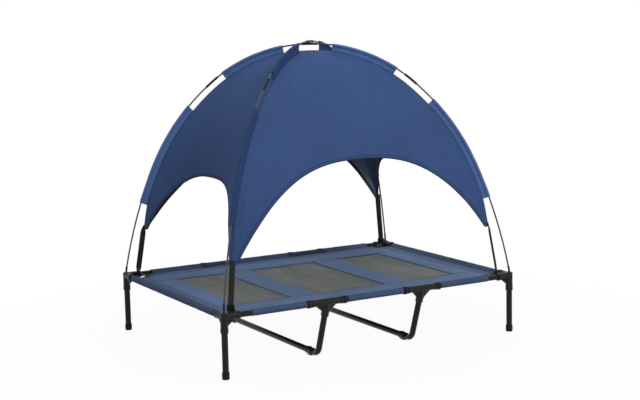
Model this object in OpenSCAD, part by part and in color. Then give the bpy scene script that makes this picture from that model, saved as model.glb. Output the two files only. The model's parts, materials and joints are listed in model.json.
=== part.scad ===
// Raised dog cot with a lift-off sun canopy, knocked down from steel tubes.
//
// X runs along the long sides, Y from the front to the rear and Z up. The origin is on
// the floor, under the middle of the bed. The frame is black tube in moulded fittings:
// four corner fittings, four tees and two U shaped supports. A fabric sling with three
// mesh windows is threaded on the rails. Two sectioned glass fibre poles cross over the
// bed, stand in the corner fittings and carry a canopy of four gores.

/* [Frame] */
// Length of the bed between the axes of its corner posts
span_x = 1193; // [1100:1:1300]
// Width of the bed between the axes of its corner posts
span_y = 863; // [800:1:940]
// Height of the rails' axis above the floor
rail_z = 215; // [200:1:240]
// Outer diameter of the rail tubes
rail_d = 20; // [18:0.5:21]
// Outer diameter of the leg and support tubes
leg_d = 22; // [20:0.5:24]
// Wall of every steel tube
tube_wall = 1.2; // [0.8:0.1:2]
// Clearance round a tube in its socket
fit = 0.2; // [0.1:0.05:0.3]
// Gap between the end of a rail and the stop in its socket
stop_gap = 1; // [0.5:0.1:2]

/* [Corner fittings] */
// Wall of a fitting round a leg
fitting_wall = 1.8; // [1.4:0.1:2.4]
// Length of a rail arm, from the post's axis
arm_len = 57.5; // [48:0.5:66]
// Distance from the post's axis to the rail's stop
arm_stop = 15; // [12.5:0.5:18]
// Width of the ring at the end of an arm
ring_w = 12; // [8:0.5:14]
// Height of the ring above the arm
ring_lift = 1; // [0.6:0.1:1.5]
// Drop of the post's lower end below the rails' axis
post_drop = 57; // [50:1:64]
// Height of the reinforced lip at the post's lower end
lip_h = 18; // [12:1:22]
// Height of the lip above the post
lip_lift = 0.75; // [0.5:0.05:1.2]
// Drop of the leg socket's ceiling below the rails' axis
ceiling_drop = 25; // [20:1:30]
// Thickness of plastic between the leg's socket and the pole's hole
hole_floor = 4; // [3:0.5:6]
// Reach of the gusset below an arm, from the post's axis
gusset_reach = 36.5; // [30:0.5:42]
// Drop of the gusset's foot below the rails' axis
gusset_drop = 32; // [26:1:38]
// Thickness of the gussets
gusset_t = 8; // [5:0.5:12]

/* [Tees] */
// Length of a tee's rail sleeve
tee_len = 164; // [140:2:180]
// Distance from the tee's middle to the stop of each rail
tee_stop = 8; // [5:0.5:12]
// Width of the collar at each end of the sleeve
collar_w = 10; // [6:0.5:14]
// Height of the collar above the sleeve
collar_lift = 1.25; // [0.8:0.05:1.8]
// Length of the tee's leg socket, from the rails' axis
tee_socket = 55; // [45:1:65]
// Distance from the rails' axis to the end of the support leg
tee_bore = 17; // [15:0.5:22]
// Half length of the tee's gusset below the sleeve
tee_reach = 38; // [30:1:44]
// Drop of the tee gusset's foot below the rails' axis
tee_drop = 32; // [26:1:38]

/* [Feet and supports] */
// Height of a foot cap
cap_h = 25; // [18:1:32]
// Wall of a foot cap
cap_wall = 1.7; // [1.2:0.1:2.5]
// Thickness of a foot cap's floor
cap_floor = 3; // [2:0.5:5]
// Rounding of a foot cap's lower edge
cap_round = 2.5; // [1:0.5:3.5]
// Inward lean of the support legs from the vertical, in degrees
support_lean = 19.5; // [12:0.5:24]
// Radius of the bend at the foot of a support leg
bend_r = 35; // [28:1:45]
// Height of the cross bars' axis above the floor
cross_z = 15; // [14.5:0.5:20]
// Straight tube between the bend and the support foot
bend_tail = 10; // [4:1:20]
// Length of a support foot along the bar
foot_len = 38; // [30:1:46]
// Wall of a support foot
foot_wall = 2.3; // [1.8:0.1:3]
// Width of the pad under a support foot
pad_w = 14; // [10:1:18]
// Length of the pad under a support foot
pad_len = 28; // [20:1:30]

/* [Poles] */
// Diameter of the glass fibre rods
rod_d = 6; // [5:0.1:7]
// Outer diameter of the ferrules
ferrule_d = 9; // [8.2:0.1:10]
// Length of a ferrule
ferrule_len = 57; // [40:1:70]
// Clearance of a rod in its ferrule
rod_fit = 0.15; // [0.15:0.05:0.25]
// Gap between the two ferrules where the poles cross
cross_gap = 0.3; // [0.1:0.1:1]
// Radius of the bend in a pole tip, above the corner fitting
tip_bend = 80; // [60:5:100]
// Inward turn of the pole above its tip, in degrees
foot_angle = 10.75; // [9:0.25:12]
// Inward turn where the lower and middle rods meet, in degrees
side_angle = 23.05; // [21:0.05:25]
// Inward turn where the middle and upper rods meet, in degrees
top_angle = 49.8; // [47:0.1:53]
// Diameter of the pole tips
tip_d = 8; // [7.4:0.1:9]
// Clearance of a pole tip in its hole
tip_fit = 0.3; // [0.2:0.05:0.5]
// Length of rod held in a pole tip
tip_collar = 8; // [5:1:12]

/* [Canopy] */
// Thickness of the canopy's cloth
cloth_t = 2; // [1.5:0.1:3]
// Distance of the cloth below the pole where the poles cross
drop_apex = 30; // [26:1:36]
// Distance of the cloth inside the pole along the sleeves
drop_sleeve = 23; // [18:0.5:28]
// Distance of the cloth inside the pole at the tips
drop_tip = 42; // [34:1:50]
// Length of pole between a corner fitting and the canopy's tip
tip_up = 173; // [150:1:200]
// Height of the front and rear openings at their middle
front_edge_z = 699; // [640:1:760]
// Height of the side openings at their middle
side_edge_z = 630; // [580:1:680]
// Inward pull of the side openings' edges at their middle
side_pull = 50; // [0:1:60]
// Exponent of the openings' curve
edge_power = 2.35; // [2:0.05:2.8]
// Distance from the crossing to the upper sleeve
upper_sleeve_from = 100; // [80:1:120]
// Distance from the crossing to the end of the upper sleeve
upper_sleeve_to = 350; // [320:1:370]
// Distance from the crossing to the lower sleeve
lower_sleeve_from = 525; // [490:1:560]
// Distance from the crossing to the end of the lower sleeve
lower_sleeve_to = 950; // [900:1:1000]
// Thickness of the sleeves' cloth
sleeve_t = 0.8; // [0.6:0.1:1.2]
// Clearance of the ferrules in the sleeves
sleeve_fit = 0.3; // [0.2:0.05:0.6]

/* [Sling] */
// Thickness of the sling's cloth
sheet_t = 1.6; // [1.2:0.1:2.4]
// Drop of the sheet's middle below the rails' axis
sheet_drop = 5; // [3:0.5:7]
// Clearance of the rails in the sling's sleeves
rail_play = 0.5; // [0.3:0.1:0.8]
// Distance from a corner post to the sling along a long rail
cut_x = 102.5; // [92:0.5:112]
// Distance from a corner post to the sling along a short rail
cut_y = 70.5; // [64:0.5:80]
// Hollow of the cut corners
cut_sag = 15; // [8:1:22]
// Gap between a tee and the sling's sleeves
tee_clear = 5; // [3:0.5:8]
// Distance from a long rail to the sling's edge at a tee
tee_notch = 19.5; // [18:0.5:26]
// Width of the strips between the mesh windows
strip_w = 104; // [90:1:120]
// Border between a short rail and the outer windows
end_border = 139.5; // [125:0.5:160]
// Border between a long rail and the windows
side_border = 163.5; // [140:0.5:190]
// Thickness of the mesh
mesh_t = 0.8; // [0.5:0.1:1.2]
// Seam allowance of the mesh round its window
mesh_seam = 8; // [5:0.5:12]

/* [Straps] */
// Width of the webbing
strap_w = 22; // [18:0.5:25]
// Thickness of the webbing
strap_t = 1.6; // [1.2:0.1:2]
// Distance of the buckles inwards from the corner posts, along the diagonals
buckle_in = 49.2; // [42:0.2:56]
// Height of a buckle's lower face above the rails' axis
buckle_up = 12; // [9:0.5:16]
// Height of a buckle
buckle_h = 19; // [16:0.5:24]
// Clearance of the webbing in the buckle
slot_fit = 0.4; // [0.3:0.05:0.6]
// Wall of a buckle round the slot
buckle_wall = 2.2; // [1.8:0.1:3]
// Diameter of the buckle's bar
bar_d = 4; // [3:0.1:5]
// Height of the webbing sewn over a canopy tip
strap_lap = 15; // [10:1:20]
// Length of webbing that hangs out below a buckle
strap_tail = 5; // [2:0.5:7]

/* [Hidden] */
$fn = 64;
SIDES = ["front", "rear"];
CORNERS = [
    ["front_left", -1, -1],
    ["front_right", 1, -1],
    ["rear_left", -1, 1],
    ["rear_right", 1, 1],
];
function named(stem) = [for (c = CORNERS) str(stem, "_", c[0])];

BLACK = "#2a2a29";
GREY = "#6c7074";
BLUE = "#3f5783";
LIGHT_BLUE = "#4a6296";
SLING_BLUE = "#576786";
MESH_GREY = "#5c5f62";

// Fittings
post_x = span_x / 2;
post_y = span_y / 2;
half_diagonal = norm([post_x, post_y]);
leg_bore = leg_d + 2 * fit;
rail_bore = rail_d + 2 * fit;
fitting_r = leg_bore / 2 + fitting_wall;
post_bottom = rail_z - post_drop;
post_top = rail_z + fitting_r;
socket_ceiling = rail_z - ceiling_drop;
hole_bottom = socket_ceiling + hole_floor;
bevel = 1.5;
// How far a cut reaches past the face that it opens
over = 1;
// How far a gusset's lower corner sinks into its arm
gusset_sink = 0.5;
// Where two swept stretches join, one is thinner by a hair and they lap.
hair = 0.2;
lap = 0.5;

// Tees and supports
tee_x = span_x / 6;
corner_down = (rail_z - cross_z) / cos(support_lean);
bend_back = bend_r * tan((90 - support_lean) / 2);
bend_end = corner_down * sin(support_lean) + bend_back;
foot_y = post_y - bend_end - bend_tail - foot_len / 2;
foot_r = leg_bore / 2 + foot_wall;
foot_web = 2;

// Poles: four arcs from the corner fitting up, each from one inward turn to the next.
// The first is the bent tip and the others are three rods of one length, which follows
// from the half diagonal that they span. Arc 0 is the tip and arc 3 the crown.
turns = [0, foot_angle, side_angle, top_angle, 90];
function run(i) = cos(turns[i]) - cos(turns[i + 1]);
function climb(i) = sin(turns[i + 1]) - sin(turns[i]);
function bend(i) = (turns[i + 1] - turns[i]) * PI / 180;
rods_per_half = 3;
rods_span = half_diagonal - tip_bend * run(0);
rod_len = rods_span / (run(1) / bend(1) + run(2) / bend(2) + run(3) / bend(3));
radii = concat([tip_bend], [for (i = [1:rods_per_half]) rod_len / bend(i)]);
function knot(i) =
    i == 0
    ? [half_diagonal, post_top]
    : knot(i - 1) + radii[i - 1] * [-run(i - 1), climb(i - 1)];
function centre_of(i) = knot(i) - radii[i] * [cos(turns[i]), sin(turns[i])];
// Lengths along a pole are measured from the crossing. This is where arc i ends below.
function arc_end(i) =
    i == 0
    ? rods_per_half * rod_len + tip_bend * bend(0)
    : (rods_per_half + 1 - i) * rod_len;
function arc_at(t) = max(0, rods_per_half - floor(t / rod_len));
function turn_at(i, t) = turns[i] + (arc_end(i) - t) / radii[i] * 180 / PI;
// Point inside a pole: t is the length from the crossing, inset the distance inwards.
function inside_pole(t, inset) =
    let (i = arc_at(t), a = turn_at(i, t))
    centre_of(i) + (radii[i] - inset) * [cos(a), sin(a)];

// The upper pole is like the lower one and stands this much higher, to pass over it.
upper_lift = ferrule_d + cross_gap;
LOWER = [CORNERS[2], CORNERS[1]];
UPPER = [CORNERS[0], CORNERS[3]];

// Canopy: the seams run inside the poles in the two diagonal planes, and each gore is
// straight along its own side of the bed.
gore_cols = 20;
gore_rows = 12;
seam_steps = 32;
seam_gap = 0.3;
tip_t = arc_end(0) - tip_up;
function seam_drop(t) =
    t < upper_sleeve_from
    ? drop_sleeve + (drop_apex - drop_sleeve) * pow(1 - t / upper_sleeve_from, 2)
    : t > lower_sleeve_to
    ? drop_sleeve + (drop_tip - drop_sleeve) * (t - lower_sleeve_to) / (tip_t - lower_sleeve_to)
    : drop_sleeve;
function seam(t, inset) = inside_pole(t, seam_drop(t) + inset);
function seam_line(inset) =
    [for (k = [0:seam_steps]) seam(tip_t * k / seam_steps, inset)];
function flipped(line) = [for (p = line) [p.y, p.x]];
tip_z = seam(tip_t, 0).y;
tunnel_r = ferrule_d / 2 + sleeve_fit;

// Sling
sheet_z = rail_z - sheet_drop;
sheet_top = sheet_z + sheet_t / 2;
sling_bore = rail_d + 2 * rail_play;
sling_r = sling_bore / 2 + sheet_t / 2;
// How far the cut for a rail goes past the end of its sleeve, through the hollow corners
bore_past = 16;
strip_in = tee_x - strip_w / 2;
strip_out = tee_x + strip_w / 2;
window_end = post_x - end_border;
window_y = post_y - side_border;
cut_chord = norm([cut_x, cut_y]);
cut_r = (cut_chord * cut_chord / 4 + cut_sag * cut_sag) / (2 * cut_sag);
// X ranges of the windows, from left to right
windows = [[-window_end, -strip_out], [-strip_in, strip_in], [strip_out, window_end]];

// Straps and buckles, in the diagonal planes
buckle_s = half_diagonal - buckle_in;
buckle_bottom = rail_z + buckle_up;
buckle_top = buckle_bottom + buckle_h;
buckle_half = strap_w / 2 + slot_fit + buckle_wall;
slot_half = strap_t / 2 + slot_fit;
bar_fit = 0.2;
loop_in = bar_d / 2 + bar_fit;
loop_out = loop_in + strap_t;
bar_s = buckle_s - slot_half - loop_out;
bar_gap = 0.6;
bar_z = buckle_bottom - loop_out - bar_gap;
loop_lap = 18;

// ---------------------------------------------------------------- shared shapes

// Stands a part at a corner post, with local +X and +Y pointing along the rails.
module at_corner(c) {
    translate([c[1] * post_x, c[2] * post_y, 0])
        scale([-c[1], -c[2], 1])
            children();
}

// Turns local X to the way out along a diagonal, local Y to up.
module on_diagonal(c) {
    rotate([0, 0, atan2(c[2] * span_y, c[1] * span_x)])
        rotate([90, 0, 0])
            children();
}

module along_x() {
    rotate([0, 90, 0])
        children();
}

module along_y() {
    rotate([-90, 0, 0])
        children();
}

module tube(d, len) {
    difference() {
        cylinder(d = d, h = len);
        translate([0, 0, -over])
            cylinder(d = d - 2 * tube_wall, h = len + 2 * over);
    }
}

module ring_profile(outer, inner) {
    difference() {
        circle(r = outer);
        circle(r = inner);
    }
}

// Sweeps a profile along one arc of a pole, between two lengths from the crossing.
module along_arc(i, from, to) {
    translate(centre_of(i))
        rotate_extrude(start = turn_at(i, to), angle = turn_at(i, from) - turn_at(i, to))
            translate([radii[i], 0])
                children();
}

// ---------------------------------------------------------------- corner fittings

module post_solid() {
    lip_r = fitting_r + lip_lift;
    rotate_extrude()
        polygon([
            [0, post_bottom],
            [lip_r - bevel, post_bottom],
            [lip_r, post_bottom + bevel],
            [lip_r, post_bottom + lip_h - lip_lift],
            [fitting_r, post_bottom + lip_h],
            [fitting_r, post_top - bevel],
            [fitting_r - bevel, post_top],
            [0, post_top],
        ]);
}

module arm_solid() {
    ring_r = fitting_r + ring_lift;
    rotate_extrude()
        polygon([
            [0, 0],
            [fitting_r, 0],
            [fitting_r, arm_len - ring_w - ring_lift],
            [ring_r, arm_len - ring_w],
            [ring_r, arm_len - ring_lift],
            [ring_r - ring_lift, arm_len],
            [0, arm_len],
        ]);
}

module arm_gusset() {
    translate([0, gusset_t / 2, rail_z])
        rotate([90, 0, 0])
            linear_extrude(gusset_t)
                polygon([
                    [0, 0],
                    [gusset_reach, 0],
                    [gusset_reach, -fitting_r + gusset_sink],
                    [fitting_r, -gusset_drop],
                    [0, -gusset_drop],
                ]);
}

module corner_fitting(c) {
    color(BLACK) at_corner(c) difference() {
        union() {
            post_solid();
            for (turn = [0, 90])
                rotate([0, 0, turn]) {
                    translate([0, 0, rail_z]) along_x() arm_solid();
                    arm_gusset();
                }
        }
        translate([0, 0, post_bottom - over])
            cylinder(d = leg_bore, h = socket_ceiling - post_bottom + over);
        translate([0, 0, hole_bottom])
            cylinder(d = tip_d + 2 * tip_fit, h = post_top);
        for (turn = [0, 90])
            rotate([0, 0, turn])
                translate([arm_stop, 0, rail_z])
                    along_x() cylinder(d = rail_bore, h = arm_len);
    }
}

// ---------------------------------------------------------------- legs and feet

module corner_leg(c) {
    color(BLACK) at_corner(c)
        translate([0, 0, cap_floor])
            tube(leg_d, socket_ceiling - cap_floor);
}

module foot_cap(c) {
    r = leg_bore / 2 + cap_wall;
    top_step = 1;
    color(BLACK) at_corner(c) difference() {
        rotate_extrude()
            union() {
                square([r - cap_round, cap_h]);
                translate([0, cap_round])
                    square([r, cap_h - cap_round - top_step]);
                translate([r - cap_round, cap_round])
                    circle(r = cap_round);
            }
        translate([0, 0, cap_floor])
            cylinder(d = leg_bore, h = cap_h);
    }
}

// ---------------------------------------------------------------- rails

module long_rail(y, from, to) {
    color(BLACK)
        translate([from, y, rail_z])
            along_x() tube(rail_d, to - from);
}

module long_rail_part(y, part) {
    outer = post_x - arm_stop - stop_gap;
    near_tee = tee_x + tee_stop + stop_gap;
    far_tee = tee_x - tee_stop - stop_gap;
    if (part == "left") long_rail(y, -outer, -near_tee);
    if (part == "middle") long_rail(y, -far_tee, far_tee);
    if (part == "right") long_rail(y, near_tee, outer);
}

module end_rail(side) {
    half = post_y - arm_stop - stop_gap;
    color(BLACK)
        translate([side * post_x, -half, rail_z])
            along_y() tube(rail_d, 2 * half);
}

// ---------------------------------------------------------------- tees and supports

module tee_sleeve() {
    collar_r = fitting_r + collar_lift;
    half = tee_len / 2;
    rotate_extrude()
        polygon([
            [0, -half],
            [collar_r - collar_lift, -half],
            [collar_r, -half + collar_lift],
            [collar_r, -half + collar_w],
            [fitting_r, -half + collar_w + collar_lift],
            [fitting_r, half - collar_w - collar_lift],
            [collar_r, half - collar_w],
            [collar_r, half - collar_lift],
            [collar_r - collar_lift, half],
            [0, half],
        ]);
}

module tee_gusset() {
    translate([0, gusset_t / 2, 0])
        rotate([90, 0, 0])
            linear_extrude(gusset_t)
                polygon([
                    [-tee_reach, 0],
                    [-tee_reach, -fitting_r + gusset_sink],
                    [-fitting_r, -tee_drop],
                    [fitting_r, -tee_drop],
                    [tee_reach, -fitting_r + gusset_sink],
                    [tee_reach, 0],
                ]);
}

module tee(c) {
    color(BLACK)
        translate([c[1] * tee_x, c[2] * post_y, rail_z])
            scale([1, -c[2], 1])
                difference() {
                    union() {
                        along_x() tee_sleeve();
                        rotate([support_lean, 0, 0]) {
                            translate([0, 0, -tee_socket])
                                cylinder(r = fitting_r + lip_lift, h = tee_socket);
                            tee_gusset();
                        }
                    }
                    for (side = [-1, 1])
                        scale([side, 1, 1])
                            translate([tee_stop, 0, 0])
                                along_x() cylinder(d = rail_bore, h = tee_len);
                    rotate([support_lean, 0, 0])
                        translate([0, 0, -tee_socket - over])
                            cylinder(d = leg_bore, h = tee_socket - tee_bore + over);
                }
}

// The solid path of a support leg: lean, bend and tail, longer by extra at both ends.
module support_path(d, extra) {
    straight = corner_down - bend_back;
    tail = bend_tail + (foot_len - foot_web) / 2;
    translate([0, 0, rail_z])
        rotate([support_lean, 0, 0]) {
            translate([0, 0, -straight - lap])
                cylinder(d = d, h = straight + lap - tee_bore + extra);
            translate([0, bend_r, -straight])
                rotate([90, 0, 90])
                    rotate_extrude(start = 180, angle = 90 - support_lean)
                        translate([bend_r, 0])
                            circle(d = d - hair);
        }
    translate([0, bend_end - lap, cross_z])
        along_y() cylinder(d = d, h = tail + lap + extra);
}

module support_leg(c) {
    color(BLACK)
        translate([c[1] * tee_x, c[2] * post_y, 0])
            scale([1, -c[2], 1])
                difference() {
                    support_path(leg_d, 0);
                    support_path(leg_d - 2 * tube_wall, over);
                }
}

module cross_bar(side) {
    half = foot_y - foot_web / 2;
    color(BLACK)
        translate([side * tee_x, -half, cross_z])
            along_y() tube(leg_d, 2 * half);
}

module rounded_rect(w, len, r) {
    square([w, len - 2 * r], center = true);
    square([w - 2 * r, len], center = true);
    for (x = [-1, 1])
        for (y = [-1, 1])
            translate([x * (w / 2 - r), y * (len / 2 - r)])
                circle(r = r);
}

module support_foot(c) {
    pad_round = 3;
    nub_d = 8;
    nub_h = 2;
    color(BLACK)
        translate([c[1] * tee_x, c[2] * foot_y, 0])
            difference() {
                union() {
                    translate([0, -foot_len / 2, cross_z])
                        along_y() cylinder(r = foot_r, h = foot_len);
                    linear_extrude(cross_z)
                        rounded_rect(pad_w, pad_len, pad_round);
                    translate([0, 0, cross_z])
                        cylinder(d = nub_d, h = foot_r + nub_h);
                }
                for (way = [-1, 1])
                    scale([1, way, 1])
                        translate([0, foot_web / 2, cross_z])
                            along_y() cylinder(d = leg_bore, h = foot_len);
            }
}

// ---------------------------------------------------------------- sling

module at_windows(seam) {
    for (w = windows)
        translate([w[0] - seam, -window_y - seam])
            square([w[1] - w[0] + 2 * seam, 2 * (window_y + seam)]);
}

// The hollow cut of one corner: a circle through the sling's ends on the two rails.
module corner_cut(c) {
    out = [c[1] * cut_y, c[2] * cut_x] / cut_chord;
    middle = [c[1] * (post_x - cut_x / 2), c[2] * (post_y - cut_y / 2)];
    translate(middle + out * (cut_r - cut_sag))
        circle(r = cut_r, $fn = 180);
}

module sheet_outline() {
    notch_w = tee_len + 2 * tee_clear;
    difference() {
        square([span_x, span_y], center = true);
        at_windows(0);
        for (c = CORNERS) {
            corner_cut(c);
            translate([c[1] * tee_x, c[2] * post_y])
                square([notch_w, 2 * tee_notch], center = true);
        }
    }
}

// Calls its child for each sleeve on the long rails, as a length along X.
module long_sleeves(d, extra) {
    tee_out = tee_x + tee_len / 2 + tee_clear;
    tee_in = tee_x - tee_len / 2 - tee_clear;
    sling_end = post_x - cut_x;
    for (y = [-post_y, post_y])
        for (part = [[-sling_end, -tee_out], [-tee_in, tee_in], [tee_out, sling_end]])
            translate([part[0] - extra, y, rail_z])
                along_x() cylinder(d = d, h = part[1] - part[0] + 2 * extra);
}

module short_sleeves(d, extra) {
    half = post_y - cut_y + extra;
    for (x = [-post_x, post_x])
        translate([x, -half, rail_z])
            along_y() cylinder(d = d, h = 2 * half);
}

module sling() {
    color(SLING_BLUE) difference() {
        union() {
            translate([0, 0, sheet_z - sheet_t / 2])
                linear_extrude(sheet_t) sheet_outline();
            long_sleeves(2 * sling_r, 0);
            short_sleeves(2 * sling_r, 0);
        }
        long_sleeves(sling_bore, bore_past);
        short_sleeves(sling_bore, bore_past);
    }
}

module mesh_panel(i) {
    w = windows[i];
    color(MESH_GREY)
        translate([w[0] - mesh_seam, -window_y - mesh_seam, sheet_z - sheet_t / 2 - mesh_t])
            cube([w[1] - w[0] + 2 * mesh_seam, 2 * (window_y + mesh_seam), mesh_t]);
}

// ---------------------------------------------------------------- straps

// Distance from the bed's middle to the sling's cut edge, along a diagonal
function hem_s() =
    let (
        along = (post_x * cut_y + post_y * cut_x) / cut_chord / half_diagonal,
        chord_s = ((post_x - cut_x / 2) * cut_y + (post_y - cut_y / 2) * cut_x) / cut_chord / along
    )
    chord_s - cut_sag / along;

module corner_loops() {
    hem = hem_s();
    color(BLACK)
        for (c = CORNERS)
            on_diagonal(c)
                translate([0, 0, -strap_w / 2])
                    linear_extrude(strap_w)
                        difference() {
                            union() {
                                translate([bar_s, bar_z]) circle(r = loop_out);
                                polygon([
                                    [hem - loop_lap, sheet_top],
                                    [hem, sheet_top],
                                    [bar_s, bar_z - loop_out],
                                    [bar_s, bar_z - loop_in],
                                    [hem - strap_t, sheet_top + strap_t],
                                    [hem - loop_lap, sheet_top + strap_t],
                                ]);
                            }
                            translate([bar_s, bar_z]) circle(r = loop_in);
                        }
}

module buckle() {
    body_in = buckle_s - slot_half - buckle_wall;
    body_out = buckle_s + slot_half + buckle_wall;
    window_h = (buckle_h - 3 * buckle_wall) / 2;
    // Body with its slot and the two windows of the ladder
    difference() {
        translate([body_in, buckle_bottom, -buckle_half])
            cube([body_out - body_in, buckle_h, 2 * buckle_half]);
        translate([buckle_s - slot_half, buckle_bottom - over, buckle_wall - buckle_half])
            cube([2 * slot_half, buckle_h + 2 * over, 2 * (buckle_half - buckle_wall)]);
        for (row = [0, 1])
            translate([
                buckle_s,
                buckle_bottom + buckle_wall + row * (window_h + buckle_wall),
                buckle_wall - buckle_half,
            ])
                cube([body_out, window_h, 2 * (buckle_half - buckle_wall)]);
    }
    // Bar for the sling's loop, between two lugs
    translate([bar_s, bar_z, -buckle_half])
        cylinder(d = bar_d, h = 2 * buckle_half);
    lug_in = bar_s - bar_d / 2;
    lug_bottom = bar_z - bar_d / 2;
    lug_w = body_in + buckle_wall - lug_in;
    lug_h = buckle_bottom + buckle_wall - lug_bottom;
    for (edge = [-buckle_half, buckle_half - buckle_wall])
        translate([lug_in, lug_bottom, edge])
            cube([lug_w, lug_h, buckle_wall]);
}

module strap_buckles() {
    color(BLACK)
        for (c = CORNERS)
            on_diagonal(c) buckle();
}

module canopy_strap(c) {
    lap = seam(tip_t - strap_lap, 0);
    tip = seam(tip_t, 0);
    inner = [
        [lap.x + seam_gap, lap.y],
        [tip.x + seam_gap, tip.y],
        [buckle_s - strap_t / 2, buckle_top],
        [buckle_s - strap_t / 2, buckle_bottom - strap_tail],
    ];
    color(BLACK)
        on_diagonal(c)
            translate([0, 0, -strap_w / 2])
                linear_extrude(strap_w)
                    polygon(concat(inner, [for (i = [3:-1:0]) inner[i] + [strap_t, 0]]));
}

// ---------------------------------------------------------------- poles

// Stands half a pole over each of its two corners, the upper pole higher by its lift.
module half_poles(ends, lift) {
    for (c = ends)
        on_diagonal(c)
            translate([0, lift, 0])
                children();
}

module rods(ends, lift) {
    color(GREY)
        half_poles(ends, lift)
            for (i = [1:rods_per_half])
                along_arc(i, arc_end(i) - rod_len + lap, arc_end(i) - lap)
                    circle(d = rod_d);
}

module ferrule_profile() {
    ring_profile(ferrule_d / 2, rod_d / 2 + rod_fit);
}

// A ferrule over the joint between arc i and the one above, with their mean curvature.
module joint_ferrule(i) {
    r = 2 / (1 / radii[i] + 1 / radii[i + 1]);
    spread = ferrule_len / r * 180 / PI;
    turn = turns[i + 1];
    translate(knot(i + 1) - r * [cos(turn), sin(turn)])
        rotate_extrude(start = turn - spread / 2, angle = spread)
            translate([r, 0])
                ferrule_profile();
}

module ferrules(ends, lift) {
    color(BLACK) {
        half_poles(ends, lift) {
            joint_ferrule(1);
            joint_ferrule(2);
        }
        half_poles([ends[0]], lift)
            along_arc(3, -ferrule_len / 2, ferrule_len / 2)
                ferrule_profile();
    }
}

module tips(ends, lift) {
    shaft = post_top - hole_bottom - tip_fit + lift;
    half_poles(ends, lift) {
        translate([half_diagonal, post_top - shaft, 0])
            rotate([-90, 0, 0])
                cylinder(d = tip_d, h = shaft + lap);
        along_arc(0, arc_end(1) - lap, arc_end(0))
            circle(d = tip_d - hair);
        along_arc(1, arc_end(1) - tip_collar, arc_end(1) + lap)
            ring_profile(tip_d / 2, rod_d / 2 + rod_fit);
    }
}

module pole_tips() {
    color(BLACK) {
        tips(LOWER, 0);
        tips(UPPER, upper_lift);
    }
}

// ---------------------------------------------------------------- canopy

// Stretch of a sleeve on one arc: a tunnel round the pole and the flap that joins it to
// the seam, which lies further in from the upper pole by the part of its lift across it.
module sleeve_stretch(i, from, to, lift, widen) {
    reach = drop_sleeve - seam_gap + lift * sin(turn_at(i, to));
    along_arc(i, from, to)
        difference() {
            union() {
                circle(r = tunnel_r + sleeve_t + widen);
                translate([-reach, -sleeve_t])
                    square([reach, 2 * sleeve_t]);
            }
            circle(r = tunnel_r + widen);
        }
}

module sleeves(ends, lift) {
    color(LIGHT_BLUE)
        half_poles(ends, lift) {
            sleeve_stretch(3, upper_sleeve_from, upper_sleeve_to, lift, 0);
            sleeve_stretch(2, lower_sleeve_from, arc_end(2), lift, 0);
            sleeve_stretch(1, arc_end(2), lower_sleeve_to, lift, hair);
        }
}

// Point of a gore that faces local -Y. u runs from tip to tip, v from the seam down to
// the edge; half_w and depth are half the bed's size along and across the gore.
function gore_point(u, v, line, half_w, depth, edge_z, pull) =
    let (
        tip_s = lookup(tip_z, flipped(line)),
        top_z = lookup(abs(u) * tip_s, line),
        low_z = edge_z - (edge_z - tip_z) * pow(abs(u), edge_power),
        z = top_z + (low_z - top_z) * v,
        s = lookup(z, flipped(line))
    )
    [
        u * half_w * tip_s / half_diagonal,
        pull * (1 - u * u) * v * v - depth * s / half_diagonal - seam_gap,
        z,
    ];

function gore_skin(inset, half_w, depth, edge_z, pull) =
    let (line = seam_line(inset), rows = [0:gore_rows])
    concat(
        [
            for (j = [1:gore_cols - 1])
                let (u = sin(180 * j / gore_cols - 90))
                    for (i = rows)
                        gore_point(u, i / gore_rows, line, half_w, depth, edge_z, pull)
        ],
        [for (u = [-1, 1]) gore_point(u, 0, line, half_w, depth, edge_z, pull)]
    );

// Number of a skin's vertex; the first and last columns are the two tips.
function gore_vertex(skin, j, i) =
    let (grid = (gore_cols - 1) * (gore_rows + 1), base = skin * (grid + 2))
    j == 0 ? base + grid
    : j == gore_cols ? base + grid + 1
    : base + (j - 1) * (gore_rows + 1) + i;

function triangles(quads) = [
    for (q = quads)
        for (f = [[q[0], q[1], q[2]], [q[0], q[2], q[3]]])
            if (f[0] != f[1] && f[1] != f[2] && f[2] != f[0])
                f
];

function gore_quads() = [
    for (j = [0:gore_cols - 1])
        each concat(
            [
                for (i = [0:gore_rows - 1])
                    each [
                        [for (g = [[0, 0], [1, 0], [1, 1], [0, 1]]) gore_vertex(0, j + g[0], i + g[1])],
                        [for (g = [[0, 1], [1, 1], [1, 0], [0, 0]]) gore_vertex(1, j + g[0], i + g[1])],
                    ]
            ],
            [
                [for (g = [[0, 0], [1, 0], [1, 1], [0, 1]]) gore_vertex(g[0], j + g[1], 0)],
                [for (g = [[0, 0], [0, 1], [1, 1], [1, 0]]) gore_vertex(g[0], j + g[1], gore_rows)],
            ]
        )
];

module gore(half_w, depth, edge_z, pull) {
    polyhedron(
        points = concat(
            gore_skin(0, half_w, depth, edge_z, pull),
            gore_skin(cloth_t, half_w, depth, edge_z, pull)
        ),
        faces = triangles(gore_quads()),
        convexity = 4
    );
}

module long_gore(turn) {
    color(BLUE)
        rotate([0, 0, turn])
            gore(post_x, post_y, front_edge_z, 0);
}

module side_gore(turn) {
    color(BLUE)
        rotate([0, 0, turn])
            gore(post_y, post_x, side_edge_z, side_pull);
}

// ---------------------------------------------------------------- the parts

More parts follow.
